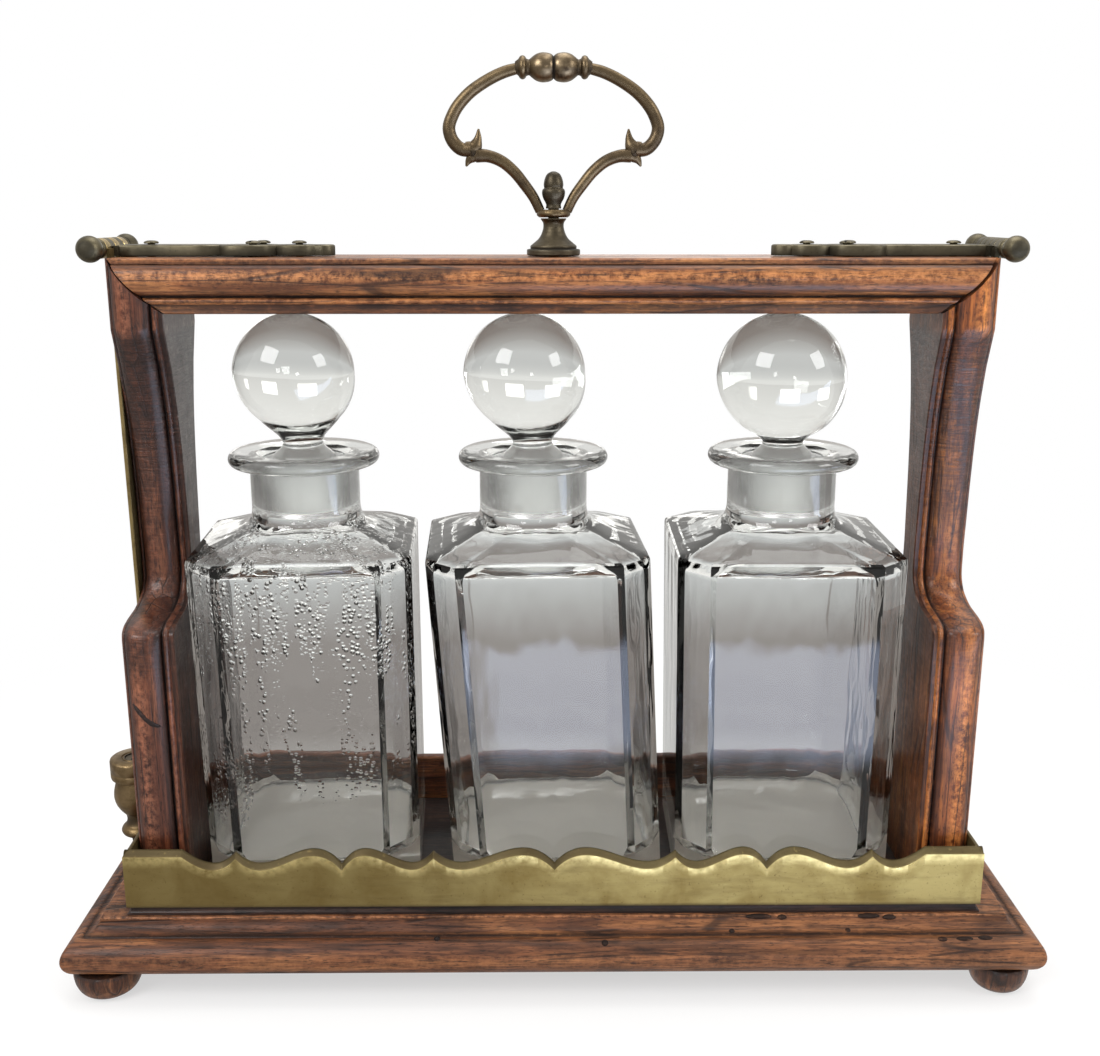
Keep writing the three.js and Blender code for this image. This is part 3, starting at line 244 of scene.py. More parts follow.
def oak(name, dark, middle, light, along, shift=0.0, shine=0.38, polish=0.25, faded=0.0):
    """Stained and polished oak. Broad noise drawn out along the grain runs from the dark colour through
    the middle one to the light one, long streaks, short open pores and cracks darken it, worn edges and
    painted highlights turn light, dirt and painted shade darken it, a painted sheen greys the inner
    faces, and cross grain is dark and rippled. It can fade towards the right."""
    material, tree, out, marks = bare_material(name)
    long_grain = stretched(tree, drawn_out(along, 16.0), (shift, shift * 0.7, shift * 1.3))
    short_grain = stretched(tree, drawn_out(along, 7.0), (shift, 0, 0))
    even = stretched(tree, (1, 1, 1), (0, shift, 0))
    figure = noise(tree, long_grain, 5.0, 5.0, 0.62, 0.8)
    streaks = noise(tree, long_grain, 0.9, 4.0, 0.65, 0.4)
    clouds = noise(tree, even, 24.0, 3.0, 0.6)
    bright = tuple(min(1.0, value * 1.6 + 0.015) for value in light)
    black = tuple(value * 0.25 for value in dark)
    colour = blend(tree, ramp(tree, figure, 0.34, 0.50), dark, middle)
    colour = blend(tree, ramp(tree, figure, 0.50, 0.66), colour, light)
    where = node(tree, "ShaderNodeSeparateXYZ", Vector=even).outputs["X"]
    colour = tint(tree, colour, ramp(tree, where, -60.0, 170.0), faded, light)
    colour = tint(tree, colour, ramp(tree, streaks, 0.56, 0.42), 0.62, dark)
    colour = tint(tree, colour, ramp(tree, clouds, 0.50, 0.68), 0.55, dark)
    chips = ramp(tree, noise(tree, even, 2.6, 4.0, 0.7), 0.40, 0.60)
    # The wear mark turns it light: real wear on edges, and painted highlights on the rounds and the base's
    # nose.
    colour = tint(tree, colour, times(tree, marks["wear"], chips), 0.75, bright)
    # The dust mark greys it: a painted sheen of the bright room on the uprights' inner faces.
    colour = tint(tree, colour, marks["dust_and_sheen"], 0.85, (0.27, 0.215, 0.195))
    open_pore = ramp(tree, noise(tree, short_grain, 0.42, 2.0, 0.5), 0.59, 0.66)
    colour = tint(tree, colour, open_pore, 0.60, black)
    checks = node(tree, "ShaderNodeTexVoronoi", {"feature": "DISTANCE_TO_EDGE"}, Vector=long_grain,
                  Scale=0.17)
    cracks = ramp(tree, checks.outputs["Distance"], 0.045, 0.015)
    cracks = times(tree, cracks, ramp(tree, clouds, 0.46, 0.54))
    colour = tint(tree, colour, cracks, 0.7, black)
    # The grime mark darkens it: dirt and marks, and painted shade in quirks, under rounds and under the
    # board.
    dirt_and_shade = times(tree, marks["grime_and_painted_light"], ramp(tree, noise(tree, even, 3.5, 3.0), 0.12, 0.46))
    colour = tint(tree, colour, dirt_and_shade, 0.92, black)
    cross_grain = stretched(tree, drawn_out(along, 1.0, 9.0), (0, 0, shift))
    ripples = ramp(tree, noise(tree, cross_grain, 0.9, 4.0, 0.6, 0.5), 0.36, 0.62)
    rippled = times(tree, marks["rough"], ripples)
    colour = tint(tree, colour, marks["rough"], 0.52, dark)
    colour = tint(tree, colour, rippled, 0.72, black)
    rough = math_of(tree, "MULTIPLY_ADD", ramp(tree, clouds, 0.35, 0.7), 0.16, shine)
    rough = plus(tree, rough, dirt_and_shade, 0.3)
    rough = plus(tree, rough, marks["rough"], -0.10)
    height = plus(tree, times(tree, streaks, 0.5), open_pore, -1.0)
    height = plus(tree, height, cracks, -1.5)
    height = plus(tree, height, ramp(tree, noise(tree, even, 4.5, 2.0), 0.20, 0.40))
    height = plus(tree, height, rippled, -2.4)
    bump = node(tree, "ShaderNodeBump", Strength=0.4, Distance=0.0003, Height=height)
    face = node(tree, "ShaderNodeBsdfPrincipled", Base_Color=colour, Roughness=rough, Normal=bump.outputs[0],
                Coat_Weight=polish, Coat_Roughness=0.20, Specular_IOR_Level=0.32)
    tree.links.new(face.outputs[0], out.inputs["Surface"])
    return material


def shell(rows, caps=True, wear=0.0, grime_and_painted_light=0.0, rough=0.0, dust_and_sheen=0.0):
    """A closed skin through rows of points. Each point joins the next one of its row and the one after
    it in the next row, and a cap closes each end. The faces are turned out by the sign of the volume.
    Each mark is one number, one for each row, or one for each point."""
    rows = np.asarray(rows, float)
    count, across = rows.shape[:2]
    near = np.arange(count * across).reshape(count, across)
    far = np.roll(near, -1, axis=1)
    quads = np.stack([near[:-1], far[:-1], far[1:], near[1:]], axis=-1).reshape(-1, 4)
    ends = [near[0][::-1], near[-1]] if caps else []
    fans = [np.stack([np.full(len(end) - 2, end[0]), end[1:-1], end[2:]], axis=-1) for end in ends]
    points = rows.reshape(-1, 3)
    corners = points[np.concatenate([quads[:, :3], quads[:, [0, 2, 3]], *fans])]
    volume = np.einsum("ij,ij->i", corners[:, 0], np.cross(corners[:, 1], corners[:, 2])).sum()
    faces = quads.tolist() + [end.tolist() for end in ends]
    if volume < 0:
        faces = [face[::-1] for face in faces]
    marks = np.zeros((count, across, 4))
    for place, value in enumerate((wear, grime_and_painted_light, rough, dust_and_sheen)):
        value = np.asarray(value, float)
        marks[:, :, place] = value[:, None] if value.ndim == 1 else value
    return points, faces, marks.reshape(-1, 4)


def marked_mesh(name, points, faces, marks):
    """A mesh with its four marks at each point."""
    mesh = bpy.data.meshes.new(name)
    mesh.from_pydata(points.tolist(), [], faces)
    layer = mesh.attributes.new("marks", "FLOAT_COLOR", "POINT")
    layer.data.foreach_set("color", marks.ravel())
    return mesh


def piece(cad_node, made_of, shells, material, body, sharp=32):
    """Puts shells into one mesh, merges the points at their poles, shades them smooth but for edges
    sharper than the given angle, and hands the piece to its body in place of its CAD node."""
    name = f"{cad_node}_{made_of}"
    points, faces, marks, start = [], [], [], 0
    for shell_points, shell_faces, shell_marks in shells:
        points.append(shell_points)
        marks.append(shell_marks)
        faces += [[start + corner for corner in face] for face in shell_faces]
        start += len(shell_points)
    mesh = marked_mesh(name, np.concatenate(points), faces, np.concatenate(marks))
    grid = bmesh.new()
    grid.from_mesh(mesh)
    bmesh.ops.remove_doubles(grid, verts=grid.verts, dist=2e-6)
    grid.to_mesh(mesh)
    grid.free()
    mesh.shade_smooth()
    mesh.set_sharp_from_angle(angle=math.radians(sharp))
    mesh.materials.append(material)
    made = bpy.data.objects.new(name, mesh)
    scene.collection.objects.link(made)
    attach(made, body)
    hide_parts(cad_node)


def four_sided(levels, half_x, half_y, corner):
    """Rows of a board that is moulded on all four edges: each level gives how far the edge stands out
    and its height, and each corner is a quarter circle of the given radius."""
    levels = np.asarray(levels, float)
    turn = np.linspace(0, np.pi / 2, 5)
    angle = np.concatenate([turn + quarter * np.pi / 2 for quarter in range(4)])
    side_x = np.repeat([1, -1, -1, 1], 5)
    side_y = np.repeat([1, 1, -1, -1], 5)
    x = side_x * (half_x - corner + levels[:, :1]) + corner * np.cos(angle)
    y = side_y * (half_y - corner + levels[:, :1]) + corner * np.sin(angle)
    z = np.broadcast_to(levels[:, 1:], x.shape)
    return np.stack([x, y, z], axis=-1)


def flowing(points, steps):
    """A smooth line through all the points. On each stretch it is the cubic that leaves and arrives
    with the slopes of the parabolas through each end and its two neighbours, measured along the line."""
    line = np.asarray(points, float)
    step = np.linalg.norm(np.diff(line, axis=0), axis=1)[:, None]
    rate = np.diff(line, axis=0) / step
    inner = (rate[:-1] * step[1:] + rate[1:] * step[:-1]) / (step[1:] + step[:-1])
    slope = np.vstack([rate[:1], inner, rate[-1:]])
    t = (np.arange(steps) / steps)[None, :, None]
    start, end = line[:-1, None], line[1:, None]
    leave, arrive = (slope[:-1] * step)[:, None], (slope[1:] * step)[:, None]
    cubic = start * (2 * t ** 3 - 3 * t ** 2 + 1) + leave * (t ** 3 - 2 * t ** 2 + t)
    cubic = cubic + end * (3 * t ** 2 - 2 * t ** 3) + arrive * (t ** 3 - t ** 2)
    return np.vstack([cubic.reshape(-1, line.shape[1]), line[-1:]])


def lathe(profile, place, sides=64, axis="z"):
    """Rows of a turned form: at profile point (radius, along) the row is a circle of that radius, so
    far along the axis from the place."""
    profile = np.asarray(profile, float)
    angle = np.linspace(0, 2 * np.pi, sides, endpoint=False)
    radius = np.maximum(profile[:, :1], 0)
    along = np.broadcast_to(profile[:, 1:], (len(profile), sides))
    first, second = radius * np.cos(angle), radius * np.sin(angle)
    order = {"z": (first, second, along), "x": (along, first, second), "y": (second, along, first)}
    return np.stack(order[axis], axis=-1) + np.asarray(place, float)


base_half_x = 0.176
base_half_y = 0.0587
foot_height = 0.0107
nose_height = 0.0136
base_top = 0.0292
base_top_inset = 0.0117
base_corner = 0.0012
quirk_in = 0.0069
base_rim = 0.0004
nose_top = foot_height + nose_height
nose_turn = np.linspace(-np.pi / 2, np.pi / 2, 21)
nose_out = nose_height / 2 * (np.cos(nose_turn) - 1)
nose_up = foot_height + nose_height / 2 * (1 + np.sin(nose_turn))
hollow_turn = np.linspace(0, np.pi / 2, 11)[1:]
hollow_in = quirk_in + (base_top_inset - base_rim / 2 - quirk_in) * np.sin(hollow_turn)
hollow_up = nose_top + (base_top - base_rim - foot_height - nose_height) * (1 - np.cos(hollow_turn))
base_levels = np.concatenate([
    np.stack([nose_out, nose_up], axis=-1)[:-1],
    [[0.0003 - quirk_in, nose_top - base_rim], [-quirk_in, nose_top]],
    np.stack([-hollow_in, hollow_up], axis=-1),
    [[-base_top_inset, base_top - base_rim], [-base_top_inset - base_rim, base_top]],
])
# The top edge is worn light, and the middle of the nose has a painted highlight. The quirk above the nose and
# the foot of the hollow are painted dark as shade.
base_wear_and_highlight = np.zeros(len(base_levels))
base_wear_and_highlight[-3:] = (0.6, 1.0, 0.4)
base_wear_and_highlight[8:13] = 0.25
base_quirk_shade = np.zeros(len(base_levels))
base_quirk_shade[20:24] = (0.7, 1.0, 0.7, 0.3)
oak_base = oak("oak_base", (0.028, 0.009, 0.004), (0.142, 0.048, 0.019), (0.310, 0.125, 0.046), "x",
               shift=3.0, shine=0.46, polish=0.08, faded=0.5)
board = four_sided(base_levels, base_half_x, base_half_y, base_corner)
base_shells = [shell(board, wear=base_wear_and_highlight, grime_and_painted_light=base_quirk_shade)]
# The nail holes and gouges are small dark lenses on the surface: painted shade that stands for their hollows.
nail_holes = [
    (-0.0421, -0.0532, 0.0236, 0.0013), (0.0179, -0.0550, 0.0228, 0.0014), (0.0640, -0.0500, 0.0241, 0.0012),
    (0.1060, -0.0498, 0.0241, 0.0012),
]
gouges = [
    (0.0740, -0.0470, 0.0286, 0.0050), (0.0825, -0.0471, 0.0283, 0.0018), (0.1140, -0.0470, 0.0286, 0.0042),
    (0.1215, -0.0472, 0.0282, 0.0026), (0.1545, -0.0539, 0.0236, 0.0030), (0.1470, -0.0542, 0.0234, 0.0036),
    (0.1390, -0.0543, 0.0234, 0.0020),
]
ball = lathe([(math.sin(turn), -math.cos(turn)) for turn in np.linspace(0, np.pi, 9)], (0, 0, 0), 14)
for x, y, z, radius in nail_holes:
    base_shells.append(shell(ball * radius + (x, y, z), grime_and_painted_light=1))
for x, y, z, reach in gouges:
    base_shells.append(shell(ball * (reach, 0.0012, 0.0009) + (x, y, z), grime_and_painted_light=1))
piece("base_board", "wood", base_shells, oak_base, "frame")


# Feet: four turned buns of dark oak with a short neck, screwed up under the board's corners. The
# front right one is a little slimmer.
foot_radius = 0.0122
foot_x = 0.1632
foot_y = 0.0458
foot_shares = [
    (0.50, 0.005), (0.66, 0.05), (0.78, 0.13), (0.86, 0.23), (0.92, 0.36), (0.965, 0.5), (0.99, 0.65),
    (1.0, 0.8), (0.985, 0.92), (0.96, 0.985),
]
oak_foot = oak("oak_foot", (0.022, 0.007, 0.004), (0.110, 0.037, 0.015), (0.225, 0.088, 0.034), "z",
               shift=11.0, shine=0.36, polish=0.3)
foot_curve = flowing([(radius * foot_radius, up * foot_height) for radius, up in foot_shares], 5)
foot_profile = np.vstack([
    [(0, 0), (0.46 * foot_radius, 0)], foot_curve, [(0.94 * foot_radius, foot_height), (0, foot_height)],
])
# The neck under the board is painted dark as shade.
foot_neck_shade = np.clip((foot_profile[:, 1] - 0.009) / 0.002, 0, 1) * 0.9
foot_wear = np.exp(-((foot_profile[:, 1] - 0.35 * foot_height) / 0.002) ** 2) * 0.5
for depth_name, side_y in (("front", -1), ("rear", 1)):
    for width_name, side_x in (("left", -1), ("right", 1)):
        slim = (0.88, 1) if (side_x, side_y) == (1, -1) else (1, 1)
        foot_rows = lathe(foot_profile * slim, (side_x * foot_x, side_y * foot_y, 0), 56)
        foot = shell(foot_rows, wear=foot_wear, grime_and_painted_light=foot_neck_shade)
        piece(f"foot_{depth_name}_{width_name}", "wood", [foot], oak_foot, "frame")

# Plinth: a thin oak board glued on the base, painted near black as the shade under the brass, with a
# small hollow where it shows under the brass, and at the back the low oak rail that closes the tray.
gallery_half_x = 0.1548
tray_half_y = 0.043
plinth_half_y = 0.04415
plinth_shift_y = -0.00145
plinth_top = 0.0323
plinth_hollow = 0.0012
oak_dark = oak("oak_dark", (0.012, 0.005, 0.003), (0.040, 0.014, 0.008), (0.080, 0.030, 0.015), "x",
               shift=5.0, shine=0.5)
plinth_turn = np.linspace(0, np.pi / 2, 7)
plinth_up = base_top + 0.0004 + 0.0020 * (1 - np.cos(plinth_turn))
plinth_levels = np.concatenate([
    [[0, base_top]],
    np.stack([-plinth_hollow * np.sin(plinth_turn), plinth_up], axis=-1),
    [[-plinth_hollow, plinth_top]],
])
plinth_rows = four_sided(plinth_levels, gallery_half_x, plinth_half_y, 0.0004) + (0, plinth_shift_y, 0)
# Its grime mark darkens it further as painted shade.
piece("plinth", "wood", [shell(plinth_rows, grime_and_painted_light=0.4)], oak_dark, "frame")

frame_half_x = 0.1519
oak_rail = oak("oak_rail", (0.045, 0.013, 0.006), (0.190, 0.060, 0.026), (0.330, 0.120, 0.045), "x",
               shift=31.0, shine=0.42)
rail_thick = 0.0039
rail_top = base_top + 0.022
rail_turn = np.linspace(0, np.pi, 13)
rail_y = tray_half_y + rail_thick / 2 * (1 + np.cos(rail_turn))
rail_z = rail_top - rail_thick / 2 * (1 - np.sin(rail_turn))
rail_y = np.concatenate([[tray_half_y + rail_thick], rail_y, [tray_half_y]])
rail_z = np.concatenate([[base_top], rail_z, [base_top]])
rail_x = np.linspace(-frame_half_x, frame_half_x, 25)[:, None]
rail_rows = np.stack(np.broadcast_arrays(rail_x, rail_y, rail_z), axis=-1)
piece("back_rail", "wood", [shell(rail_rows)], oak_rail, "frame")


# Gallery: one strip of sheet brass bent round the front and ends of the tray. Its front edge is
# cut in a scalloped line with cusps and notches, filed to a bevel, and darkened with age. The bevel
# is painted dark as shade, with a painted highlight along its lower edge.
def brass(name, deep, middle, bright, rough, patina, shift=0.0, darker_left=0.0):
    """Old brass. Clouds of noise run from the middle colour to the bright metal, smears and small
    specks show the deep brown patina, grime and painted shade darken it, worn edges and painted
    highlights shine, and fine scratches roughen it. It can be darker towards the left."""
    material, tree, out, marks = bare_material(name)
    even = stretched(tree, (1, 1, 1), (shift, shift * 0.5, 0))
    clouds = noise(tree, even, 22.0, 4.0, 0.62, 0.4)
    smears = noise(tree, stretched(tree, (5.0, 5.0, 1.0), (shift, 0, 0)), 5.0, 4.0, 0.6, 0.5)
    specks = noise(tree, even, 0.9, 3.0, 0.6)
    polished = tuple(min(1.0, value * 1.35 + 0.03) for value in bright)
    black = tuple(value * 0.30 for value in deep)
    colour = blend(tree, ramp(tree, clouds, 0.34, 0.60), middle, bright)
    colour = tint(tree, colour, ramp(tree, smears, 0.50, 0.70), patina, deep)
    colour = tint(tree, colour, ramp(tree, specks, 0.62, 0.72), 0.55, deep)
    # The colour is made darker towards the left.
    if darker_left:
        where = node(tree, "ShaderNodeSeparateXYZ", Vector=even).outputs["X"]
        dull = tuple((low + high) / 2 for low, high in zip(deep, middle))
        colour = tint(tree, colour, ramp(tree, where, 130.0, -150.0), darker_left, dull)
    # Worn edges shine; on the gallery the wear mark is a painted highlight.
    rubbed = times(tree, marks["wear"], ramp(tree, noise(tree, even, 3.0, 3.0), 0.30, 0.60))
    colour = blend(tree, rubbed, colour, polished)
    # Grime darkens it and dulls the metal; on the gallery it is painted shade.
    dirt_and_shade = times(tree, marks["grime_and_painted_light"], ramp(tree, noise(tree, even, 2.2, 3.0), 0.05, 0.36))
    colour = blend(tree, dirt_and_shade, colour, black)
    rough_value = math_of(tree, "MULTIPLY_ADD", ramp(tree, smears, 0.30, 0.75), 0.20, rough)
    rough_value = plus(tree, rough_value, dirt_and_shade, 0.25)
    rough_value = plus(tree, rough_value, rubbed, -0.10)
    scratches = noise(tree, stretched(tree, (14.0, 14.0, 1.0), (shift, 0, 4)), 0.35, 3.0, 0.6)
    height = plus(tree, times(tree, scratches, 0.4), clouds, 1.5)
    height = plus(tree, height, specks, -0.4)
    bump = node(tree, "ShaderNodeBump", Strength=0.25, Distance=0.0003, Height=height)
    face = node(tree, "ShaderNodeBsdfPrincipled", Base_Color=colour, Roughness=rough_value,
                Metallic=plus(tree, 1.0, dirt_and_shade, -0.5), Normal=bump.outputs[0])
    tree.links.new(face.outputs[0], out.inputs["Surface"])
    return material


gallery_top = 0.0543
gallery_thick = 0.0026
scallop_shares = [0, 0.326, 0.573, 0.857, 1]


def scallop_height(x):
    """Height of the scalloped edge at each x: cubic curves from the notches, whose ends rise to the
    next crest, to the cusps, whose ends come up out of the next trough, and a flat at each end."""
    reach = gallery_half_x - 0.0212
    turn_drop = [0.0057, 0.0008, 0.0057, 0.0008, 0]
    pulls = [(-0.0114, 0.0154), (0.0154, -0.0114), (-0.0114, 0.0154), (0.0083, 0.0053)]
    sample_x, sample_z = [], []
    t = np.linspace(0, 1, 80)
    for i in range(4):
        start, end = scallop_shares[i] * reach, scallop_shares[i + 1] * reach
        drop = (1 - t) ** 3 * turn_drop[i] + 3 * (1 - t) ** 2 * t * pulls[i][0]
        drop = drop + 3 * (1 - t) * t ** 2 * pulls[i][1] + t ** 3 * turn_drop[i + 1]
        sample_x.append(start + (end - start) * t)
        sample_z.append(gallery_top - drop)
    return np.interp(np.abs(x), np.concatenate(sample_x), np.concatenate(sample_z), right=gallery_top)


brass_plate = brass("brass_plate", (0.110, 0.070, 0.028), (0.325, 0.240, 0.085), (0.520, 0.420, 0.175),
                    rough=0.32, patina=0.30, shift=2.0, darker_left=0.65)
gallery_out_y = tray_half_y + gallery_thick
end_count = 40
front_count = 901
front_x = np.linspace(-gallery_half_x, gallery_half_x, front_count)
end_y = np.linspace(tray_half_y + rail_thick, -gallery_out_y, end_count + 1)[:-1]
end_x = np.full(end_count, gallery_half_x)
end_top = np.full(end_count, gallery_top)
path_x = np.concatenate([-end_x, front_x, end_x])
path_y = np.concatenate([end_y, np.full(front_count, -gallery_out_y), end_y[::-1]])
in_x = np.concatenate([np.ones(end_count + 1), np.zeros(front_count - 2), -np.ones(end_count + 1)])
in_y = np.concatenate([np.zeros(end_count), np.ones(front_count), np.zeros(end_count)])
path_top = np.concatenate([end_top, scallop_height(front_x), end_top])
path_foot = np.where(path_y > tray_half_y, base_top + 0.0003, plinth_top + 0.00002)
bevel_in = [0, 0.00008, 0.00025, 0.0006, 0.0010, 0.0014, 0.0017, 0.0021, 0.0025, gallery_thick]
bevel_down = np.array([0.0021, 0.00192, 0.0017, 0.00125, 0.00075, 0.0003, 0.00008, 0, 0.00006, 0.0003])
section_in = np.concatenate([[0, 0, 0], bevel_in, [gallery_thick, gallery_thick]])
section_z = np.column_stack([
    path_foot, path_foot + 0.0012, 0.2 * path_foot + 0.8 * (path_top - 0.0026),
    path_top[:, None] - bevel_down, path_foot + 0.006, path_foot,
])
gallery_rows = np.stack([
    path_x[:, None] + in_x[:, None] * section_in,
    path_y[:, None] + in_y[:, None] * section_in,
    section_z,
], axis=-1)
# The lower edge of the bevel has a painted highlight; the bevel, the foot of the front face and the inside
# are painted dark as shade.
gallery_painted_highlight = np.zeros(section_z.shape)
gallery_painted_highlight[:, 3] = 1
gallery_painted_shade = np.full(section_z.shape, 0.8)
gallery_painted_shade[:, 1:4] = 0
gallery_painted_shade[:, 4:6] = (0.5, 0.75)
gallery_painted_shade[:, 12:] = (0.7, 0.6, 0.6)
gallery_shell = shell(gallery_rows, wear=gallery_painted_highlight, grime_and_painted_light=gallery_painted_shade)
piece("gallery", "brass", [gallery_shell], brass_plate, "frame", 26)


# Uprights: each is cut from one thick oak board, moulded up its front and back faces, square at the
# foot, scooped to a waist above a rounded shoulder, and cut to a curved mitre under the bar.
upright_thick = 0.0186
upright_half_y = 0.0226
block_half_y = 0.0382
frame_top = 0.2612
bar_bottom = 0.2426


def moulding(flat, broad):
    """The moulding across a face: how far across, how far back, its wear with a painted highlight, and
    its painted shade. It has a flat fillet, a half round of the given breadth, a quirk, a small bead and a
    lower fillet. The round is worn and painted light as a highlight a little above its crest, and painted
    dark as shade towards its foot and in the quirks."""
    fillet_back = 0.0032
    quirk_back = 0.0036
    bead_radius = 0.0011
    turn = np.linspace(0, np.pi, 21)[1:-1]
    bead_turn = np.linspace(0, np.pi, 9)[1:-1]
    swell = np.stack([flat + broad / 2 * (1 - np.cos(turn)), fillet_back * (1 - np.sin(turn))], axis=-1)
    at = flat + broad
    bead_across = at + 0.0006 + bead_radius * (1 - np.cos(bead_turn))
    bead = np.stack([bead_across, 0.0033 - 0.0016 * np.sin(bead_turn)], axis=-1)
    first = [(0, 0.0037), (0.0005, fillet_back), (flat - 0.0002, fillet_back), (flat, 0.0034)]
    last = [(at + 0.0029, 0.0027), (upright_thick - 0.0004, 0.0024), (upright_thick, 0.0029)]
    rows = np.vstack([first, swell, [(at, quirk_back), (at + 0.0005, quirk_back)], bead, last])
    lean = np.clip(np.cos(turn), 0, 1)
    # The crest's wear is partly real wear and partly a painted highlight; under is painted shade towards the
    # round's foot.
    crest = 0.75 * np.exp(-((turn - 1.25) / 0.42) ** 2)
    wear = np.concatenate([[0.3, 0.45, 0.15, 0], crest, [0, 0], 0.5 * np.sin(bead_turn), [0, 0.1, 0.2]])
    under = 0.8 * (1 - np.sin(turn)) ** 1.5 + 0.35 * np.clip((turn - 2.0) / 1.1, 0, 1) + 0.2 * lean ** 3
    under = np.clip(under, 0, 1)
    # The quirks and the lower fillet are painted dark as shade too.
    grime_and_painted_light = np.concatenate([[0.1, 0.1, 0.5, 1.0], under, [1.0, 1.0], np.zeros(7), [0.9, 0.5, 0.5]])
    return rows, wear, grime_and_painted_light


def mitre_line(across, gap):
    """Height of the curved mitre at a distance across the moulding, as far below the bar's own cut as
    the gap: a shallow arc that sags between the outer top corner and the inner bottom one."""
    t = np.linspace(0, 1, 60)
    bow = 0.0022
    middle_across = upright_thick / 2 - bow
    middle_z = (frame_top + bar_bottom) / 2 - bow
    line_across = 2 * (1 - t) * t * middle_across + t ** 2 * upright_thick
    line_z = (1 - t) ** 2 * frame_top + 2 * (1 - t) * t * middle_z + t ** 2 * bar_bottom
    return np.interp(across - gap, line_across, line_z) + gap


side_shares = [
    (0.428, 1), (0.439, 0.983), (0.446, 0.93), (0.4505, 0.837), (0.454, 0.706), (0.457, 0.576),
    (0.463, 0.458), (0.472, 0.351), (0.49, 0.267), (0.523, 0.246), (0.585, 0.259), (0.655, 0.283),
    (0.725, 0.322), (0.778, 0.372), (0.815, 0.424), (0.837, 0.458),
]


def upright_side():
    """Height and half depth up the upright: a square block, its rounded top, a hollow to the narrow
    waist, the long scoop out again, and a slanted cut up to the square head."""
    size = np.array([frame_top - plinth_top, block_half_y])
    curve = flowing(side_shares * size, 5)
    block = np.stack([np.linspace(0, curve[0, 0], 12)[:-1], np.full(11, block_half_y)], axis=-1)
    slant = np.linspace(curve[-1], (0.895 * size[0], upright_half_y), 5)[1:]
    return np.vstack([block, curve, slant]) + (plinth_top, 0)


def both_faces(row):
    """A row across the front moulding, and back across the rear one."""
    return np.concatenate([row, row[::-1]])


def upright_rows(side):
    """Rows of an upright: at each height the moulding runs across the front face and back across the
    rear one. Above the head's foot the rows fan out until the last one lies on the mitre."""
    profile, wear, grime_and_painted_light = moulding(0.0012, 0.0128)
    heights = upright_side()
    across = both_faces(profile[:, 0])
    face = np.repeat([1.0, -1.0], len(profile))
    z = np.broadcast_to(heights[:, :1], (len(heights), len(across)))
    head = np.linspace(0, 1, 9)[1:, None]
    head_z = heights[-1, 0] + head * (mitre_line(across, 0.0)[None, :] - heights[-1, 0])
    z = np.vstack([z, head_z])
    depth = np.concatenate([heights[:, 1], np.full(8, upright_half_y)])
    y = -face * (depth[:, None] - both_faces(profile[:, 1]))
    x = np.broadcast_to(side * (frame_half_x - across), z.shape)
    cross_z = [0.118, 0.124, 0.134, 0.165, 0.195, 0.2362, 0.2368]
    cross = np.broadcast_to(np.interp(z[:, :1], cross_z, [0, 0.7, 0.3, 0.35, 1, 1, 0]), z.shape)
    all_wear_and_highlight = both_faces(wear) * (1 - 0.8 * cross)
    all_shade = np.broadcast_to(both_faces(grime_and_painted_light), z.shape)
    # Painted sheen: the inner face is greyed as if it mirrored the bright room at a grazing angle, fading
    # lower down, and only 0.4 as strong on the right, where that face is in shade.
    dust_and_sheen = np.zeros(z.shape)
    turn_at = len(profile) - 1
    pale = np.interp(z[:, turn_at], [0.10, 0.15, 0.25], [0, 0.6, 1]) * (1.0 if side < 0 else 0.4)
    dust_and_sheen[:, turn_at:turn_at + 2] = pale[:, None]
    return np.stack([x, y, z], axis=-1), all_wear_and_highlight, all_shade, cross, dust_and_sheen


def laddered(rows, wear, grime_and_painted_light, rough, dust_and_sheen):
    """A shell whose last cap is a ladder of strips from the front moulding to the rear one, so that
    a curved end keeps its shape."""
    half = rows.shape[1] // 2
    points, faces, marks = shell(rows, wear=wear, grime_and_painted_light=grime_and_painted_light, rough=rough, dust_and_sheen=dust_and_sheen)
    start = (rows.shape[0] - 1) * rows.shape[1]
    last = next(i for i in range(len(faces) - 1, -1, -1) if len(faces[i]) > 4 and start in faces[i])
    turned = faces.pop(last)
    near = start + np.arange(half)
    far = start + rows.shape[1] - 1 - np.arange(half)
    strips = np.stack([near[:-1], near[1:], far[1:], far[:-1]], axis=-1).tolist()
    at = turned.index(start)
    forward = turned[(at + 1) % len(turned)] == start + 1
    faces += strips if forward else [strip[::-1] for strip in strips]
    return points, faces, marks


oak_left = oak("oak_left", (0.024, 0.007, 0.004), (0.108, 0.029, 0.013), (0.240, 0.082, 0.038), "z",
               shift=7.0, shine=0.34, polish=0.3)
oak_right = oak("oak_right", (0.040, 0.009, 0.004), (0.290, 0.078, 0.018), (0.560, 0.200, 0.046), "z",
                shift=23.0, shine=0.34, polish=0.3)
scratch_line = np.array([
    (-0.1490, -0.0371, 0.1078), (-0.1478, -0.0376, 0.1062), (-0.1466, -0.0379, 0.1047),
    (-0.1447, -0.0380, 0.1022), (-0.1427, -0.0380, 0.1004), (-0.1407, -0.0376, 0.0994),
    (-0.1398, -0.0373, 0.0993),
])
scratch_across = np.cross(np.gradient(scratch_line, axis=0), (0, 1, 0))
scratch_across /= np.linalg.norm(scratch_across, axis=1)[:, None]
scratch_radius = np.array([0.0003, 0.0008, 0.0010, 0.0009, 0.0010, 0.0007, 0.0003])[:, None, None]
scratch_turn = np.linspace(0, 2 * np.pi, 9)[:-1][None, :, None]
scratch_ring = np.cos(scratch_turn) * scratch_across[:, None] + np.sin(scratch_turn) * np.array([0, 0.7, 0])
scratch = shell(scratch_line[:, None] + scratch_radius * scratch_ring, grime_and_painted_light=1, rough=1)
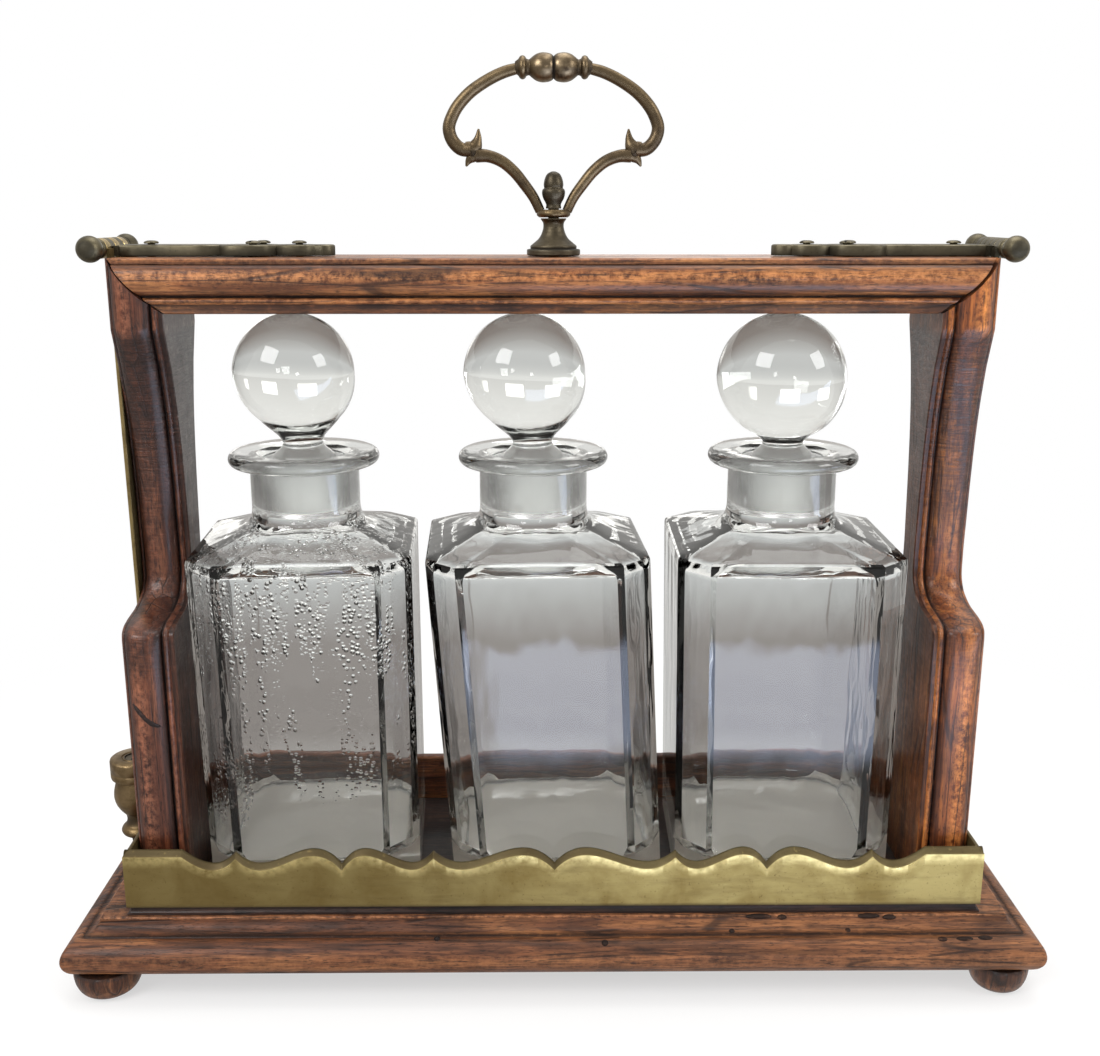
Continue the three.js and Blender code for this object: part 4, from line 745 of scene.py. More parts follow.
for side, side_name, finish in ((-1, "left", oak_left), (1, "right", oak_right)):
    upright_shells = [laddered(*upright_rows(side))] + ([scratch] if side < 0 else [])
    piece(f"{side_name}_upright", "wood", upright_shells, finish, "frame")

# Top bar: the same moulding runs along both its long sides, and both ends are cut to the curved
# mitre. It swings up on the hinge at its right end.
oak_bar = oak("oak_bar", (0.042, 0.012, 0.005), (0.240, 0.080, 0.027), (0.460, 0.190, 0.064), "x",
              shift=17.0, shine=0.32, polish=0.25)
left_gap = 0.0007
right_gap = 0.0016
bar_profile, bar_wear_and_highlight, bar_shade = moulding(0.0022, 0.0104)
bar_face = np.repeat([1.0, -1.0], len(bar_profile))
bar_y = -bar_face * (upright_half_y - both_faces(bar_profile[:, 1]))
bar_z = frame_top - both_faces(bar_profile[:, 0])
mitre_across = np.linspace(0, upright_thick, 200)
cut_across = np.interp(-bar_z, -mitre_line(mitre_across, 0.0), mitre_across)
left_x = -frame_half_x + cut_across + left_gap
right_x = frame_half_x - cut_across - right_gap
bar_x = left_x + np.linspace(0, 1, 61)[:, None] * (right_x - left_x)
bar_rows = np.stack(np.broadcast_arrays(bar_x, bar_y, bar_z), axis=-1)
# The bar carries the moulding's painted highlight and painted shade.
bar_marks = {
    "wear": np.broadcast_to(both_faces(bar_wear_and_highlight), bar_x.shape),
    "grime_and_painted_light": np.broadcast_to(both_faces(bar_shade), bar_x.shape),
}
piece("top_bar", "wood", [shell(bar_rows, **bar_marks)], oak_bar, "bar")


# Decanters: three square bottles with chamfered corners, blown in clear glass, with a thick foot, a
# round neck ground inside to take the stopper, and a rolled lip. No two are quite alike or upright.
def glass(name, misted):
    """Clear old glass: it bends light as real glass does, with faint ripples, a grey-green body that
    shows where it is thick, and a frosted face where the marks say it is ground. Misted glass has
    small droplets on its inside: rounded cells of noise, thinned out by a coarser noise."""
    material, tree, out, marks = bare_material(name)
    even = stretched(tree, (1, 1, 1))
    ripples = noise(tree, stretched(tree, (1, 1, 3)), 16.0, 2.0)
    frost = times(tree, noise(tree, even, 0.25, 2.0), marks["rough"])
    height = plus(tree, times(tree, ripples, 1.6), frost, 0.25)
    if misted:
        cells = node(tree, "ShaderNodeTexVoronoi", {"feature": "SMOOTH_F1"}, Vector=even, Scale=0.55,
                     Smoothness=0.15)
        drops = ramp(tree, cells.outputs["Distance"], 0.50, 0.12, "SMOOTHSTEP")
        patches = ramp(tree, noise(tree, stretched(tree, (1, 1, 5)), 6.0, 3.0), 0.50, 0.60)
        drops = times(tree, times(tree, drops, patches), marks["wear"])
        height = plus(tree, height, drops, 4.0)
    bump = node(tree, "ShaderNodeBump", Strength=0.6, Distance=0.0005, Height=height)
    # The grime mark paints the foot pale beige and less clear: a painted reflection of the bright room in the
    # thick bottom.
    colour = blend(tree, marks["grime_and_painted_light"], (0.985, 0.995, 0.99), (1.0, 0.91, 0.81))
    rough = times(tree, marks["rough"], 0.42)
    clear = plus(tree, 1.0, marks["grime_and_painted_light"], -0.85)
    face = node(tree, "ShaderNodeBsdfPrincipled", Base_Color=colour, Roughness=rough, IOR=1.5,
                Transmission_Weight=clear, Normal=bump.outputs[0])
    body = node(tree, "ShaderNodeVolumeAbsorption", Color=(0.77, 0.80, 0.78), Density=8.0)
    tree.links.new(face.outputs[0], out.inputs["Surface"])
    tree.links.new(body.outputs[0], out.inputs["Volume"])
    return material


def square_ring(width, chamfer, sides=12):
    """One turn round a square with chamfered corners, with the same number of points on each of its
    eight sides, from the foot of its right-hand side."""
    half, straight = width / 2, width / 2 - chamfer
    corners = np.array([
        (half, -straight), (half, straight), (straight, half), (-straight, half),
        (-half, straight), (-half, -straight), (-straight, -half), (straight, -half),
    ])
    share = (np.arange(sides) / sides)[None, :, None]
    return (corners[:, None] + (np.roll(corners, -1, axis=0) - corners)[:, None] * share).reshape(-1, 2)


def round_ring(radius, sides=12):
    """One turn round a circle, with its points opposite those of the chamfered square."""
    angle = -np.pi / 8 + np.arange(8 * sides) * np.pi / (4 * sides)
    return radius * np.stack([np.cos(angle), np.sin(angle)], axis=-1)


bottle_chamfer = 0.0104
bottle_rim = 0.1267
neck_foot = 0.1329
neck_top = 0.1547
lip_radius = 0.0273
lip_thick = 0.0052
neck_radius = 0.0197
mouth_radius = 0.0156
bore_bottom_radius = 0.0128
bore_length = 0.021
glass_wall = 0.0042
lip_top = neck_top + lip_thick
inner_neck = neck_radius - glass_wall


def bottle_levels(width):
    """Levels of the glass from the foot up the outside, over the lip, and down the inside to the
    thick bottom: each is a turn of points, a height, and how much it is ground and misted."""
    square, circle = square_ring, round_ring
    levels = [(square(width * 0.97 - 0.010, bottle_chamfer - 0.001), 0.0004, 0, 0)]
    for inward, up in ((0.0040, 0), (0.0016, 0.0004), (0.0004, 0.0014), (0, 0.003)):
        levels.append((square(width * 0.97 - inward, bottle_chamfer), up, 0, 0))
    rim = square(width - 0.0022, bottle_chamfer)
    levels += [
        (square(width - 0.0004, bottle_chamfer), bottle_rim - 0.0018, 0, 0),
        (square(width - 0.0008, bottle_chamfer), bottle_rim - 0.0007, 0, 0),
        (rim, bottle_rim, 0, 0),
    ]
    collar = circle(neck_radius + 0.0034)
    for share, up in ((0.10, 0.10), (0.30, 0.26), (0.55, 0.46), (0.78, 0.68), (0.92, 0.84), (1.0, 0.96)):
        levels.append((rim + (collar - rim) * share, bottle_rim + (neck_foot - bottle_rim) * up, 0, 0))
    for out, up in ((0.0020, 0.0006), (0.0010, 0.0018), (0.0003, 0.0036), (0, 0.0060)):
        levels.append((circle(neck_radius + out), neck_foot + up, 0, 0))
    for out, down in ((0, 0.0014), (0.0008, 0.0004), (0.0024, 0)):
        levels.append((circle(neck_radius + out), neck_top - down, 0, 0))
    for turn in np.linspace(-np.pi / 2, np.pi / 2, 13):
        out = lip_radius - lip_thick / 2 * (1 - np.cos(turn))
        levels.append((circle(out), neck_top + lip_thick / 2 * (1 + np.sin(turn)), 0, 0))
    mouth = ((0.0032, 0.0004, 0), (0.0016, 0.0009, 0), (0.0001, 0.0028, 0.6), (0, 0.0031, 1))
    for out, down, ground in mouth:
        levels.append((circle(mouth_radius + out), lip_top - down, ground, 0))
    levels += [
        (circle(bore_bottom_radius), lip_top - bore_length, 1, 0),
        (circle(inner_neck), lip_top - bore_length - 0.0016, 0, 0),
        (circle(inner_neck), neck_foot, 0, 0.3),
    ]
    inner = width - 2 * glass_wall
    inner_chamfer = bottle_chamfer - 0.4 * glass_wall
    inner_rim = bottle_rim - 0.0044
    shoulder_rise = neck_foot - 0.0012 - inner_rim
    under = square(inner - 0.003, inner_chamfer)
    hole = circle(inner_neck + 0.0006)
    for share, up in ((0.94, 0.97), (0.80, 0.84), (0.5, 0.52), (0.2, 0.2)):
        levels.append((under + (hole - under) * share, inner_rim + shoulder_rise * up, 0, 0.6))
    floor = inner - (width * 0.026)
    return levels + [
        (under, inner_rim - 0.0002, 0, 1),
        (square(inner - 0.0006, inner_chamfer), inner_rim - 0.0012, 0, 1),
        (square(inner, inner_chamfer), inner_rim - 0.003, 0, 1),
        (square(inner - (width * 0.015), inner_chamfer), 0.066, 0, 0.25),
        (square(floor, inner_chamfer), 0.0175, 0, 0),
        (square(floor - 0.0022, inner_chamfer + 0.0006), 0.0138, 0, 0),
        (square(floor - 0.0070, inner_chamfer + 0.002), 0.0119, 0, 0),
        (square(inner * 0.62, inner_chamfer), 0.0111, 0, 0),
        (square(inner * 0.25, inner_chamfer * 0.4), 0.0116, 0, 0),
    ]


def turned_about(points, degrees):
    """Points turned about the upright axis by some degrees."""
    angle = math.radians(degrees)
    across = (math.cos(angle), math.sin(angle), 0)
    back = (-math.sin(angle), math.cos(angle), 0)
    return points @ np.array([across, back, (0, 0, 1)])


# Each bottle has its name, its place and width as shares of the room inside the frame, its turn in
# degrees, how far its foot and its ball lean as shares of its width, and the ball's radius.
frame_inside = frame_half_x - upright_thick
bottles = [
    ("left", -0.685, 3.2, 0.594, 0.016, -0.03, 0.0217),
    ("middle", -0.0555, 2.6, 0.597, 0.1, -0.039, 0.0220),
    ("right", 0.632, -1.0, 0.608, 0.01, -0.021, 0.0233),
]
glass_clear = glass("glass_clear", False)
glass_misted = glass("glass_misted", True)
for side_name, place_share, turn, width_share, foot_lean, ball_lean, ball_radius in bottles:
    width = width_share * frame_inside
    levels = bottle_levels(width)
    rows = np.stack([np.column_stack([ring, np.full(len(ring), up)]) for ring, up, _, _ in levels])
    rows[:, :, 0] += foot_lean * width * np.clip((neck_foot - rows[:, :, 2]) / neck_foot, 0, 1)
    rows = turned_about(rows, turn) + (place_share * frame_inside, 0, plinth_top)
    _, _, ground, misted = zip(*levels)
    # The foot's first three levels carry the painted pale reflection.
    bottle = shell(rows, rough=ground, wear=misted, grime_and_painted_light=[1.0, 1.0, 0.6] + [0.0] * (len(levels) - 3))
    finish = glass_misted if side_name == "left" else glass_clear
    piece(f"decanter_{side_name}", "glass", [bottle], finish, f"{side_name}_decanter", 24)


# Stoppers: each is a blown ball on a short neck, over a plug that is ground to fit the mouth. The
# balls stand a little off the plug's axis.
def stopper_profile(ball_radius):
    """Radius and height of the stopper from the plug's foot to the top of the ball, how much of it is
    ground, and the ball's centre: a tapered plug, a rounded shoulder, a short neck and most of a
    circle."""
    plug_top = lip_top - 0.0031
    top_radius = mouth_radius - 0.00035
    foot_radius_here = top_radius - (mouth_radius - bore_bottom_radius) / (bore_length - 0.0031) * 0.019
    centre = bar_bottom - plinth_top - 0.0009 - ball_radius
    join = math.radians(42)
    low = [
        (0, plug_top - 0.0186), (foot_radius_here - 0.0030, plug_top - 0.0188),
        (foot_radius_here - 0.0010, plug_top - 0.0190), (foot_radius_here, plug_top - 0.0180),
        (top_radius, plug_top), (top_radius - 0.0006, plug_top + 0.0007),
    ]
    neck_z = plug_top + 0.003
    meet = (ball_radius * math.sin(join), centre - ball_radius * math.cos(join))
    waist = [(0.72 * top_radius, plug_top + 0.0015), (0.0092, neck_z), (0.0076, neck_z + 0.0016), meet]
    angle = np.linspace(join, np.pi, 49)[1:]
    ball = np.stack([ball_radius * np.sin(angle), centre - ball_radius * np.cos(angle)], axis=-1)
    profile = np.vstack([low, flowing(waist, 8), ball])
    ground = np.zeros(len(profile))
    ground[3:5] = 1
    return profile, ground, centre


for side_name, place_share, turn, width_share, foot_lean, ball_lean, ball_radius in bottles:
    profile, ground, centre = stopper_profile(ball_radius)
    rows = lathe(profile, (0, 0, 0), 72)
    above_lip = np.clip((rows[:, :, 2] - lip_top) / (centre - lip_top), 0, 1)
    rows[:, :, 0] += ball_lean * width_share * frame_inside * above_lip
    rows = turned_about(rows, turn) + (place_share * frame_inside, 0, plinth_top)
    stopper = shell(rows, rough=ground)
    piece(f"stopper_{side_name}", "glass", [stopper], glass_clear, f"{side_name}_stopper", 40)


# Handle: a cast brass loop with a beaded grip and a scroll at each side, whose hub turns on a stud
# under an acorn nut. The post below is turned, with a bell foot that stands on the bar.
brass_handle = brass("brass_handle", (0.026, 0.018, 0.012), (0.064, 0.045, 0.029), (0.145, 0.104, 0.056),
                     rough=0.36, patina=0.6, shift=9.0)
brass_acorn = brass("brass_acorn", (0.024, 0.019, 0.013), (0.052, 0.043, 0.030), (0.105, 0.086, 0.056),
                    rough=0.36, patina=0.5, shift=13.0)
turning_gap = 0.0003
hub_thick = 0.0027
stud_radius = 0.0019
post_foot = frame_top + 0.0003
post_top = frame_top + 0.013
post_end = [(0.0045, post_top - 0.0003)]
post_shape = [
    (0.0094, 0.0009), (0.0093, 0.0020), (0.0081, 0.0024), (0.0082, 0.0030), (0.0070, 0.0042),
    (0.0052, 0.0058), (0.0041, 0.0078), (0.0036, 0.0098), (0.0037, 0.0112),
]
post_curve = flowing([(radius, post_foot + up) for radius, up in post_shape] + post_end, 5)
post_profile = np.vstack([
    [(0, post_foot), (0.0090, post_foot), (0.0094, post_foot + 0.0004)], post_curve,
    [(0.0045, post_top), (0, post_top)],
])
post_wear = 0.35 * np.exp(-((post_profile[:, 1] - post_foot - 0.0012) / 0.0010) ** 2)
post_grime = 0.8 * np.exp(-((post_profile[:, 1] - post_foot - 0.0024) / 0.0005) ** 2)
acorn_low = post_top + turning_gap + hub_thick + turning_gap
acorn_shape = [
    (0.0027, 0.0004), (0.0026, 0.0014), (0.0029, 0.0021), (0.0036, 0.0034), (0.0040, 0.0048),
    (0.0040, 0.0060), (0.0037, 0.0066), (0.0034, 0.0068), (0.00345, 0.0080), (0.0031, 0.0100),
    (0.0021, 0.0118), (0.0008, 0.0125),
]
acorn_curve = flowing([(radius, acorn_low + up) for radius, up in acorn_shape], 5)
acorn_profile = np.vstack([[(0, acorn_low), (0.0027, acorn_low)], acorn_curve, [(0, acorn_low + 0.0126)]])
stud_low = frame_top - 0.014
stud_top = acorn_low + 0.006
stud = lathe([(0, stud_low), (stud_radius, stud_low), (stud_radius, stud_top), (0, stud_top)], (0, 0, 0), 24)
post = shell(lathe(post_profile, (0, 0, 0), 56), wear=post_wear, grime_and_painted_light=post_grime)
piece("handle_post", "brass", [post, shell(stud)], brass_acorn, "bar")
acorn = shell(lathe(acorn_profile, (0, 0, 0), 48), grime_and_painted_light=0.15)
piece("acorn_nut", "brass", [acorn], brass_acorn, "bar")


def bent_bar(line, radii, flat=1.0, sides=20):
    """Rows of a bar along a line in the X and Z plane: at each point of the line a ring lies square to
    it, as wide as the radius there, and flat times as deep."""
    line = np.asarray(line, float)
    way = np.gradient(line, axis=0)
    way /= np.linalg.norm(way, axis=1)[:, None]
    side = np.stack([-way[:, 1], way[:, 0]], axis=-1)
    angle = np.linspace(0, 2 * np.pi, sides, endpoint=False)
    radii = np.asarray(radii, float)[:, None]
    x = line[:, :1] + side[:, :1] * radii * np.cos(angle)
    z = line[:, 1:] + side[:, 1:] * radii * np.cos(angle)
    y = flat * radii * np.sin(angle)
    return np.stack([x, y, z], axis=-1)


handle_width = 0.0374
handle_height = 0.063


def loop_part(shares, steps, ends, radii, flat, wear=0.0, grime_and_painted_light=0.0):
    """Shells of one part of the handle, on its left and on its right. Its line is given in shares of
    the handle's half width and height, and its radii at their shares of the way along the line."""
    line = flowing(np.array(shares) * (handle_width, handle_height), steps) + (0, frame_top)
    along = np.interp(np.linspace(0, 1, len(line)), ends, radii)
    return [shell(bent_bar(line * (side, 1), along, flat), wear=wear, grime_and_painted_light=grime_and_painted_light) for side in (-1, 1)]


arm_shares = [
    (0.125, 0.245), (0.185, 0.317), (0.27, 0.387), (0.372, 0.459), (0.492, 0.514), (0.612, 0.539),
    (0.715, 0.542),
]
loop_shares = [
    (0.291, 1.0), (0.441, 0.978), (0.626, 0.927), (0.802, 0.852), (0.925, 0.757), (0.965, 0.683),
    (0.925, 0.613), (0.845, 0.574), (0.765, 0.574),
]
lower_horn = [(0.70, 0.545), (0.745, 0.536), (0.785, 0.515), (0.812, 0.484)]
upper_horn = [(0.80, 0.574), (0.735, 0.585), (0.703, 0.622), (0.692, 0.682)]
knot = [(0.70, 0.562), (0.745, 0.556), (0.79, 0.548)]
knot_along = np.linspace(0, 1, 13)
knot_radii = 0.0013 + 0.0008 * np.sin(np.linspace(0, np.pi, 13))
handle_parts = [
    loop_part(arm_shares, 8, [0, 0.3, 0.8, 1], [0.0017, 0.0019, 0.0021, 0.0024], 0.95, wear=0.2),
    loop_part(
        loop_shares, 8, [0, 0.1, 0.6, 0.9, 1], [0.0018, 0.0020, 0.0022, 0.0023, 0.0026], 0.95, wear=0.25,
    ),
    loop_part(lower_horn, 6, [0, 0.5, 1], [0.0024, 0.0018, 0.0003], 0.8, wear=0.35),
    loop_part(upper_horn, 6, [0, 0.45, 1], [0.0026, 0.0024, 0.0003], 0.8, wear=0.35),
    loop_part(knot, 6, knot_along, knot_radii, 1.0, grime_and_painted_light=0.5),
]
handle_shells = [part[side] for side in (0, 1) for part in handle_parts]
grip_half = flowing([
    (0.0036, 0.0), (0.0042, 0.0006), (0.0048, 0.0026), (0.00485, 0.0040), (0.0043, 0.0060),
    (0.0032, 0.0076), (0.0026, 0.0084), (0.0028, 0.0092), (0.0036, 0.0098), (0.0039, 0.0106),
    (0.0036, 0.0114), (0.0027, 0.0121), (0.0019, 0.0132),
], 5)
grip_profile = np.vstack([[(0, -0.0132)], grip_half[::-1] * (1, -1), grip_half[1:], [(0, 0.0132)]])
grip_wear = np.clip((grip_profile[:, 0] - 0.0034) / 0.0012, 0, 1)
grip_grime = np.clip((0.0032 - grip_profile[:, 0]) / 0.0008, 0, 1) * 0.5
grip_grime = grip_grime + 0.8 * (np.abs(grip_profile[:, 1]) < 0.0005)
grip_rows = lathe(grip_profile, (0, 0, frame_top + handle_height), 40, "x")
handle_shells.append(shell(grip_rows, wear=grip_wear, grime_and_painted_light=grip_grime))
hub_low = post_top + turning_gap
hub_top = hub_low + hub_thick
hub_bore = 0.0021
hub_side = [(0.0050, 0), (0.0058, 0.0007), (0.0059, 0.0016), (0.0054, 0.0025)]
hub_profile = np.vstack([
    [(hub_bore, hub_low)], flowing([(radius, hub_low + up) for radius, up in hub_side], 4),
    [(0.0050, hub_top), (hub_bore, hub_top), (hub_bore, hub_low)],
])
handle_shells.append(shell(lathe(hub_profile, (0, 0, 0), 48), caps=False, wear=0.15))
piece("handle", "brass", handle_shells, brass_handle, "handle", 50)


# Straps: two cast plates of old bronze let into the bar's top at its ends, each with a lobed outline,
# a filed bevel and four slotted screws. The left one carries the hasp, the right one the hinge.
brass_dull = brass("brass_dull", (0.020, 0.018, 0.013), (0.048, 0.043, 0.029), (0.120, 0.102, 0.064),
                   rough=0.38, patina=0.6, shift=21.0)
axis_x = 0.156525
axis_z = 0.2642
strap_start = 0.004625
strap_length = 0.075
strap_half = 0.009
strap_low = axis_z - 0.0027
strap_high = strap_low + 0.0038
barrel_half = 0.012
knuckle_pitch = 0.0048
knuckle_gap = 0.00025
knuckle_radius = 0.0035
knuckle_bore = 0.00173
knuckle_wear = [0, 0.2, 0.5, 0.5, 0.2, 0, 0]
strap_lobes = [
    [(0, 0.71), (0.22, 0.72), (0.44, 0.71), (0.475, 0.60)],
    [(0.475, 0.60), (0.505, 0.86), (0.56, 1.0), (0.64, 1.0), (0.695, 0.86), (0.735, 0.45)],
    [(0.735, 0.45), (0.77, 0.64), (0.83, 0.71), (0.88, 0.60), (0.91, 0.36)],
    [(0.91, 0.36), (0.95, 0.44), (0.985, 0.30), (1.0, 0.0)],
]


def inset(ring, amount):
    """A closed outline moved inward by an amount, square to the line through each point's neighbours."""
    way = np.roll(ring, -1, axis=0) - np.roll(ring, 1, axis=0)
    way /= np.linalg.norm(way, axis=1)[:, None]
    area = (ring[:, 0] * np.roll(ring[:, 1], -1) - np.roll(ring[:, 0], -1) * ring[:, 1]).sum()
    inward = np.stack([-way[:, 1], way[:, 0]], axis=-1) * np.sign(area)
    return ring + inward * amount


def filed_plate(ring, low, high, edge):
    """Rows of a plate with an outline, from its low face to its high one, whose far rim is filed to a
    bevel that is as wide as the edge."""
    levels = [(0.0002, low), (0, low + 0.0002), (0, high - 0.8 * edge), (0.3 * edge, high - 0.35 * edge)]
    levels += [(0.75 * edge, high - 0.06 * edge), (1.1 * edge, high)]
    rows = [np.column_stack([inset(ring, inward), np.full(len(ring), height)]) for inward, height in levels]
    return np.stack(rows), np.array([0, 0, 0.25, 0.9, 0.7, 0.1])


def knuckle_tubes(first):
    """The barrel's tubes, every second one from the first, about the Y axis."""
    tubes = []
    for i in range(first, 5, 2):
        front = -barrel_half + i * knuckle_pitch + knuckle_gap / 2
        back = front + knuckle_pitch - knuckle_gap
        ring = [
            (knuckle_bore, front), (knuckle_radius - 0.0003, front), (knuckle_radius, front + 0.0003),
            (knuckle_radius, back - 0.0003), (knuckle_radius - 0.0003, back), (knuckle_bore, back),
            (knuckle_bore, front),
        ]
        tubes.append((lathe(ring, (0, 0, 0), 40, "y"), front, back))
    return tubes


def block(low, high):
    """Rows of a plain block between two corners."""
    low, high = np.array(low, float), np.array(high, float)
    square = np.array([(low[0], low[1]), (high[0], low[1]), (high[0], high[1]), (low[0], high[1])])
    return np.stack([np.column_stack([square, np.full(4, z)]) for z in (low[2], high[2])])


strap_side = np.vstack([flowing(np.array(lobe) * (strap_length, strap_half), 6)[:-1] for lobe in strap_lobes])
strap_ring = np.vstack([strap_side * (1, -1), [(strap_length, 0)], strap_side[::-1]]) + (strap_start, 0)
strap_rows, strap_wear = filed_plate(strap_ring, strap_low - axis_z, strap_high - axis_z, 0.0007)
strap_places = [(0.14, 0), (0.625, -0.36), (0.655, 0.36), (0.833, 0)]
for strap_name, side in (("hasp_strap", 1), ("hinge_strap", -1)):
    to_bar = (side, side, 1)
    at_axis = (-side * axis_x, 0, axis_z)
    strap_shells = [shell(strap_rows * to_bar + at_axis, wear=strap_wear, grime_and_painted_light=[0.6, 0.5, 0.1, 0, 0, 0])]
    for tube, front, back in knuckle_tubes(1):
        strap_shells.append(shell(tube * to_bar + at_axis, caps=False, wear=knuckle_wear))
        tab_far = (strap_start + 0.001, back, strap_high - axis_z - 0.0003)
        tab = block((0.0022, front, strap_low - axis_z), tab_far)
        strap_shells.append(shell(tab * to_bar + at_axis, grime_and_painted_light=0.3))
    piece(strap_name, "bronze", strap_shells, brass_dull, "bar", 34)


# Screws: round-headed bronze screws with a straight slot, their slots as they came to rest.
def carved(solid, cutters):
    """A shell with other closed shells cut out of it."""
    made = []
    for number, (points, faces, marks) in enumerate([solid, *cutters]):
        name = f"carving_{number}"
        made.append(bpy.data.objects.new(name, marked_mesh(name, points, faces, marks)))
        scene.collection.objects.link(made[-1])
    for cutter in made[1:]:
        step = made[0].modifiers.new("cut", "BOOLEAN")
        step.operation = "DIFFERENCE"
        step.solver = "EXACT"
        step.object = cutter
    done = made[0].evaluated_get(bpy.context.evaluated_depsgraph_get()).to_mesh()
    points = np.array([vertex.co[:] for vertex in done.vertices])
    faces = [list(face.vertices) for face in done.polygons]
    marks = np.zeros((len(points), 4))
    kept = done.attributes.get("marks")
    if kept is not None and kept.domain == "POINT":
        values = np.zeros(4 * len(points), dtype=np.float32)
        kept.data.foreach_get("color", values)
        marks = values.reshape(-1, 4).astype(float)
    for old in made:
        mesh = old.data
        bpy.data.objects.remove(old)
        bpy.data.meshes.remove(mesh)
    return points, faces, marks


def slotted_screw(length):
    """A screw along Z with the underside of its head at height 0: a pointed shank, a domed head with a
    rounded rim, and a slot across it."""
    dome = np.linspace(0, np.pi / 2, 9)
    head = np.stack([0.0005 + 0.0021 * np.cos(dome), 0.0003 + 0.0008 * np.sin(dome)], axis=-1)
    shank = [(0, -length), (0.0013, 0.004 - length), (0.0013, 0), (0.0024, 0)]
    profile = np.vstack([shank, head, [(0, 0.0011)]])
    wear = np.concatenate([[0, 0, 0, 0.2], np.full(9, 0.5), [0.4]])
    body = shell(lathe(profile, (0, 0, 0), 28), wear=wear)
    slot = shell(block((-0.004, -0.00028, 0.00055), (0.004, 0.00028, 0.002)))
    return carved(body, [slot])


def set_screw(screw, angle, place, outward=None):
    """A screw turned about its own axis by an angle, tipped to point its head outward along X if a side
    is given, and moved to its place."""
    points, faces, marks = screw
    turned = turned_about(points, angle)
    if outward is not None:
        turned = np.stack([outward * turned[:, 2], turned[:, 1], -outward * turned[:, 0]], axis=-1)
    return turned + place, faces, marks


head_gap = 0.0003
strap_screw = slotted_screw(0.013)
for strap_name, side, angles in (("hasp_strap", 1, (12, 75, -38, 20)), ("hinge_strap", -1, (-55, 8, 64, 31))):
    for number, ((along, out), angle) in enumerate(zip(strap_places, angles), 1):
        spot_x = -side * (axis_x - strap_start - along * strap_length)
        screw = set_screw(strap_screw, angle, (spot_x, side * out * strap_half, strap_high + head_gap))
        piece(f"{strap_name}_screw_{number}", "slotted", [screw], brass_dull, "bar", 40)


# Hinge leaf: a tapered plate of old bronze with a round foot, let down the right upright's outer face
# from the barrel and held by four slotted screws.
upright_gap = 0.0003
plate_top = -0.004


def hanging_ring(half_top, half_foot, length):
    """Outline of a hanging plate in Y and Z below the axis: straight sides that draw in, and a half
    round foot."""
    foot = plate_top - length + half_foot
    turn = np.linspace(np.pi, 2 * np.pi, 25)
    round_foot = np.stack([half_foot * np.cos(turn), foot + half_foot * np.sin(turn)], axis=-1)
    left = np.linspace((-half_top, plate_top), (-half_foot, foot), 9)[:-1]
    right = np.linspace((half_foot, foot), (half_top, plate_top), 9)[1:]
    return np.vstack([left, round_foot, right])


def hanging_shells(half_top, half_foot, length, thick, side):
    """Shells of a hanging plate with its knuckles, on the given side of the frame: its inner face is
    a small gap off the upright."""
    inner = upright_gap - (axis_x - frame_half_x)
    rows, wear = filed_plate(hanging_ring(half_top, half_foot, length), inner, inner + thick, 0.0005)
    rows = rows[:, :, [2, 0, 1]]
    place = (side * axis_x, 0, axis_z)
    shells = [shell(rows * (side, 1, 1) + place, wear=wear, grime_and_painted_light=[0.5, 0.4, 0, 0, 0, 0])]
    for tube, front, back in knuckle_tubes(0):
        shells.append(shell(tube * (side, 1, 1) + place, caps=False, wear=knuckle_wear))
        tab = block((inner + 0.0001, front, -0.0060), (inner + thick - 0.0001, back, 0))
        shells.append(shell(tab * (side, 1, 1) + place, grime_and_painted_light=0.2))
    return shells


leaf_half = 0.012
leaf_length = 0.044
leaf_thick = 0.0017
leaf_shells = hanging_shells(leaf_half, 0.0084, leaf_length, leaf_thick, 1)
piece("hinge_leaf", "bronze", leaf_shells, brass_dull, "frame", 34)
leaf_screw = slotted_screw(0.011)
leaf_spots = [(-0.5, 0.25, 33), (0.5, 0.25, -12), (-0.35, 0.75, 70), (0.35, 0.75, 5)]
leaf_face = frame_half_x + upright_gap + leaf_thick + head_gap
for number, (out, down, angle) in enumerate(leaf_spots, 1):
    spot = (leaf_face, out * leaf_half, axis_z - 0.0035 - down * leaf_length)
    screw = set_screw(leaf_screw, angle, spot, 1)
    piece(f"hinge_leaf_screw_{number}", "slotted", [screw], brass_dull, "frame", 40)


# Pins: a turned pin through each barrel, with a collar, a neck and a ball finial at both ends.
pin_end = np.vstack([
    [(0.00165, 0.0120), (0.00165, 0.01225), (0.0032, 0.01225), (0.0036, 0.0126)],
    flowing([(0.0036, 0.0132), (0.0033, 0.0138), (0.0026, 0.0143), (0.0024, 0.0150), (0.0026, 0.0156)], 4),
])
ball_turn = np.linspace(0.62, np.pi, 25)
pin_ball = np.stack([0.0045 * np.sin(ball_turn), 0.01945 - 0.0045 * np.cos(ball_turn)], axis=-1)
pin_half = np.vstack([pin_end, pin_ball])
pin_profile = np.vstack([pin_half[::-1] * (1, -1), pin_half])
pin_wear = 0.5 * np.clip((pin_profile[:, 0] - 0.003) / 0.0015, 0, 1)
pin_grime = 0.6 * np.clip((0.0032 - pin_profile[:, 0]) / 0.0006, 0, 1)
for pin_name, side, pin_body in (("hinge_pin", 1, "frame"), ("hasp_pin", -1, "bar")):
    pin_rows = lathe(pin_profile, (side * axis_x, 0, axis_z), 48, "y")
    pin = shell(pin_rows, wear=pin_wear, grime_and_painted_light=pin_grime)
    piece(pin_name, "turned", [pin], brass_dull, pin_body, 40)


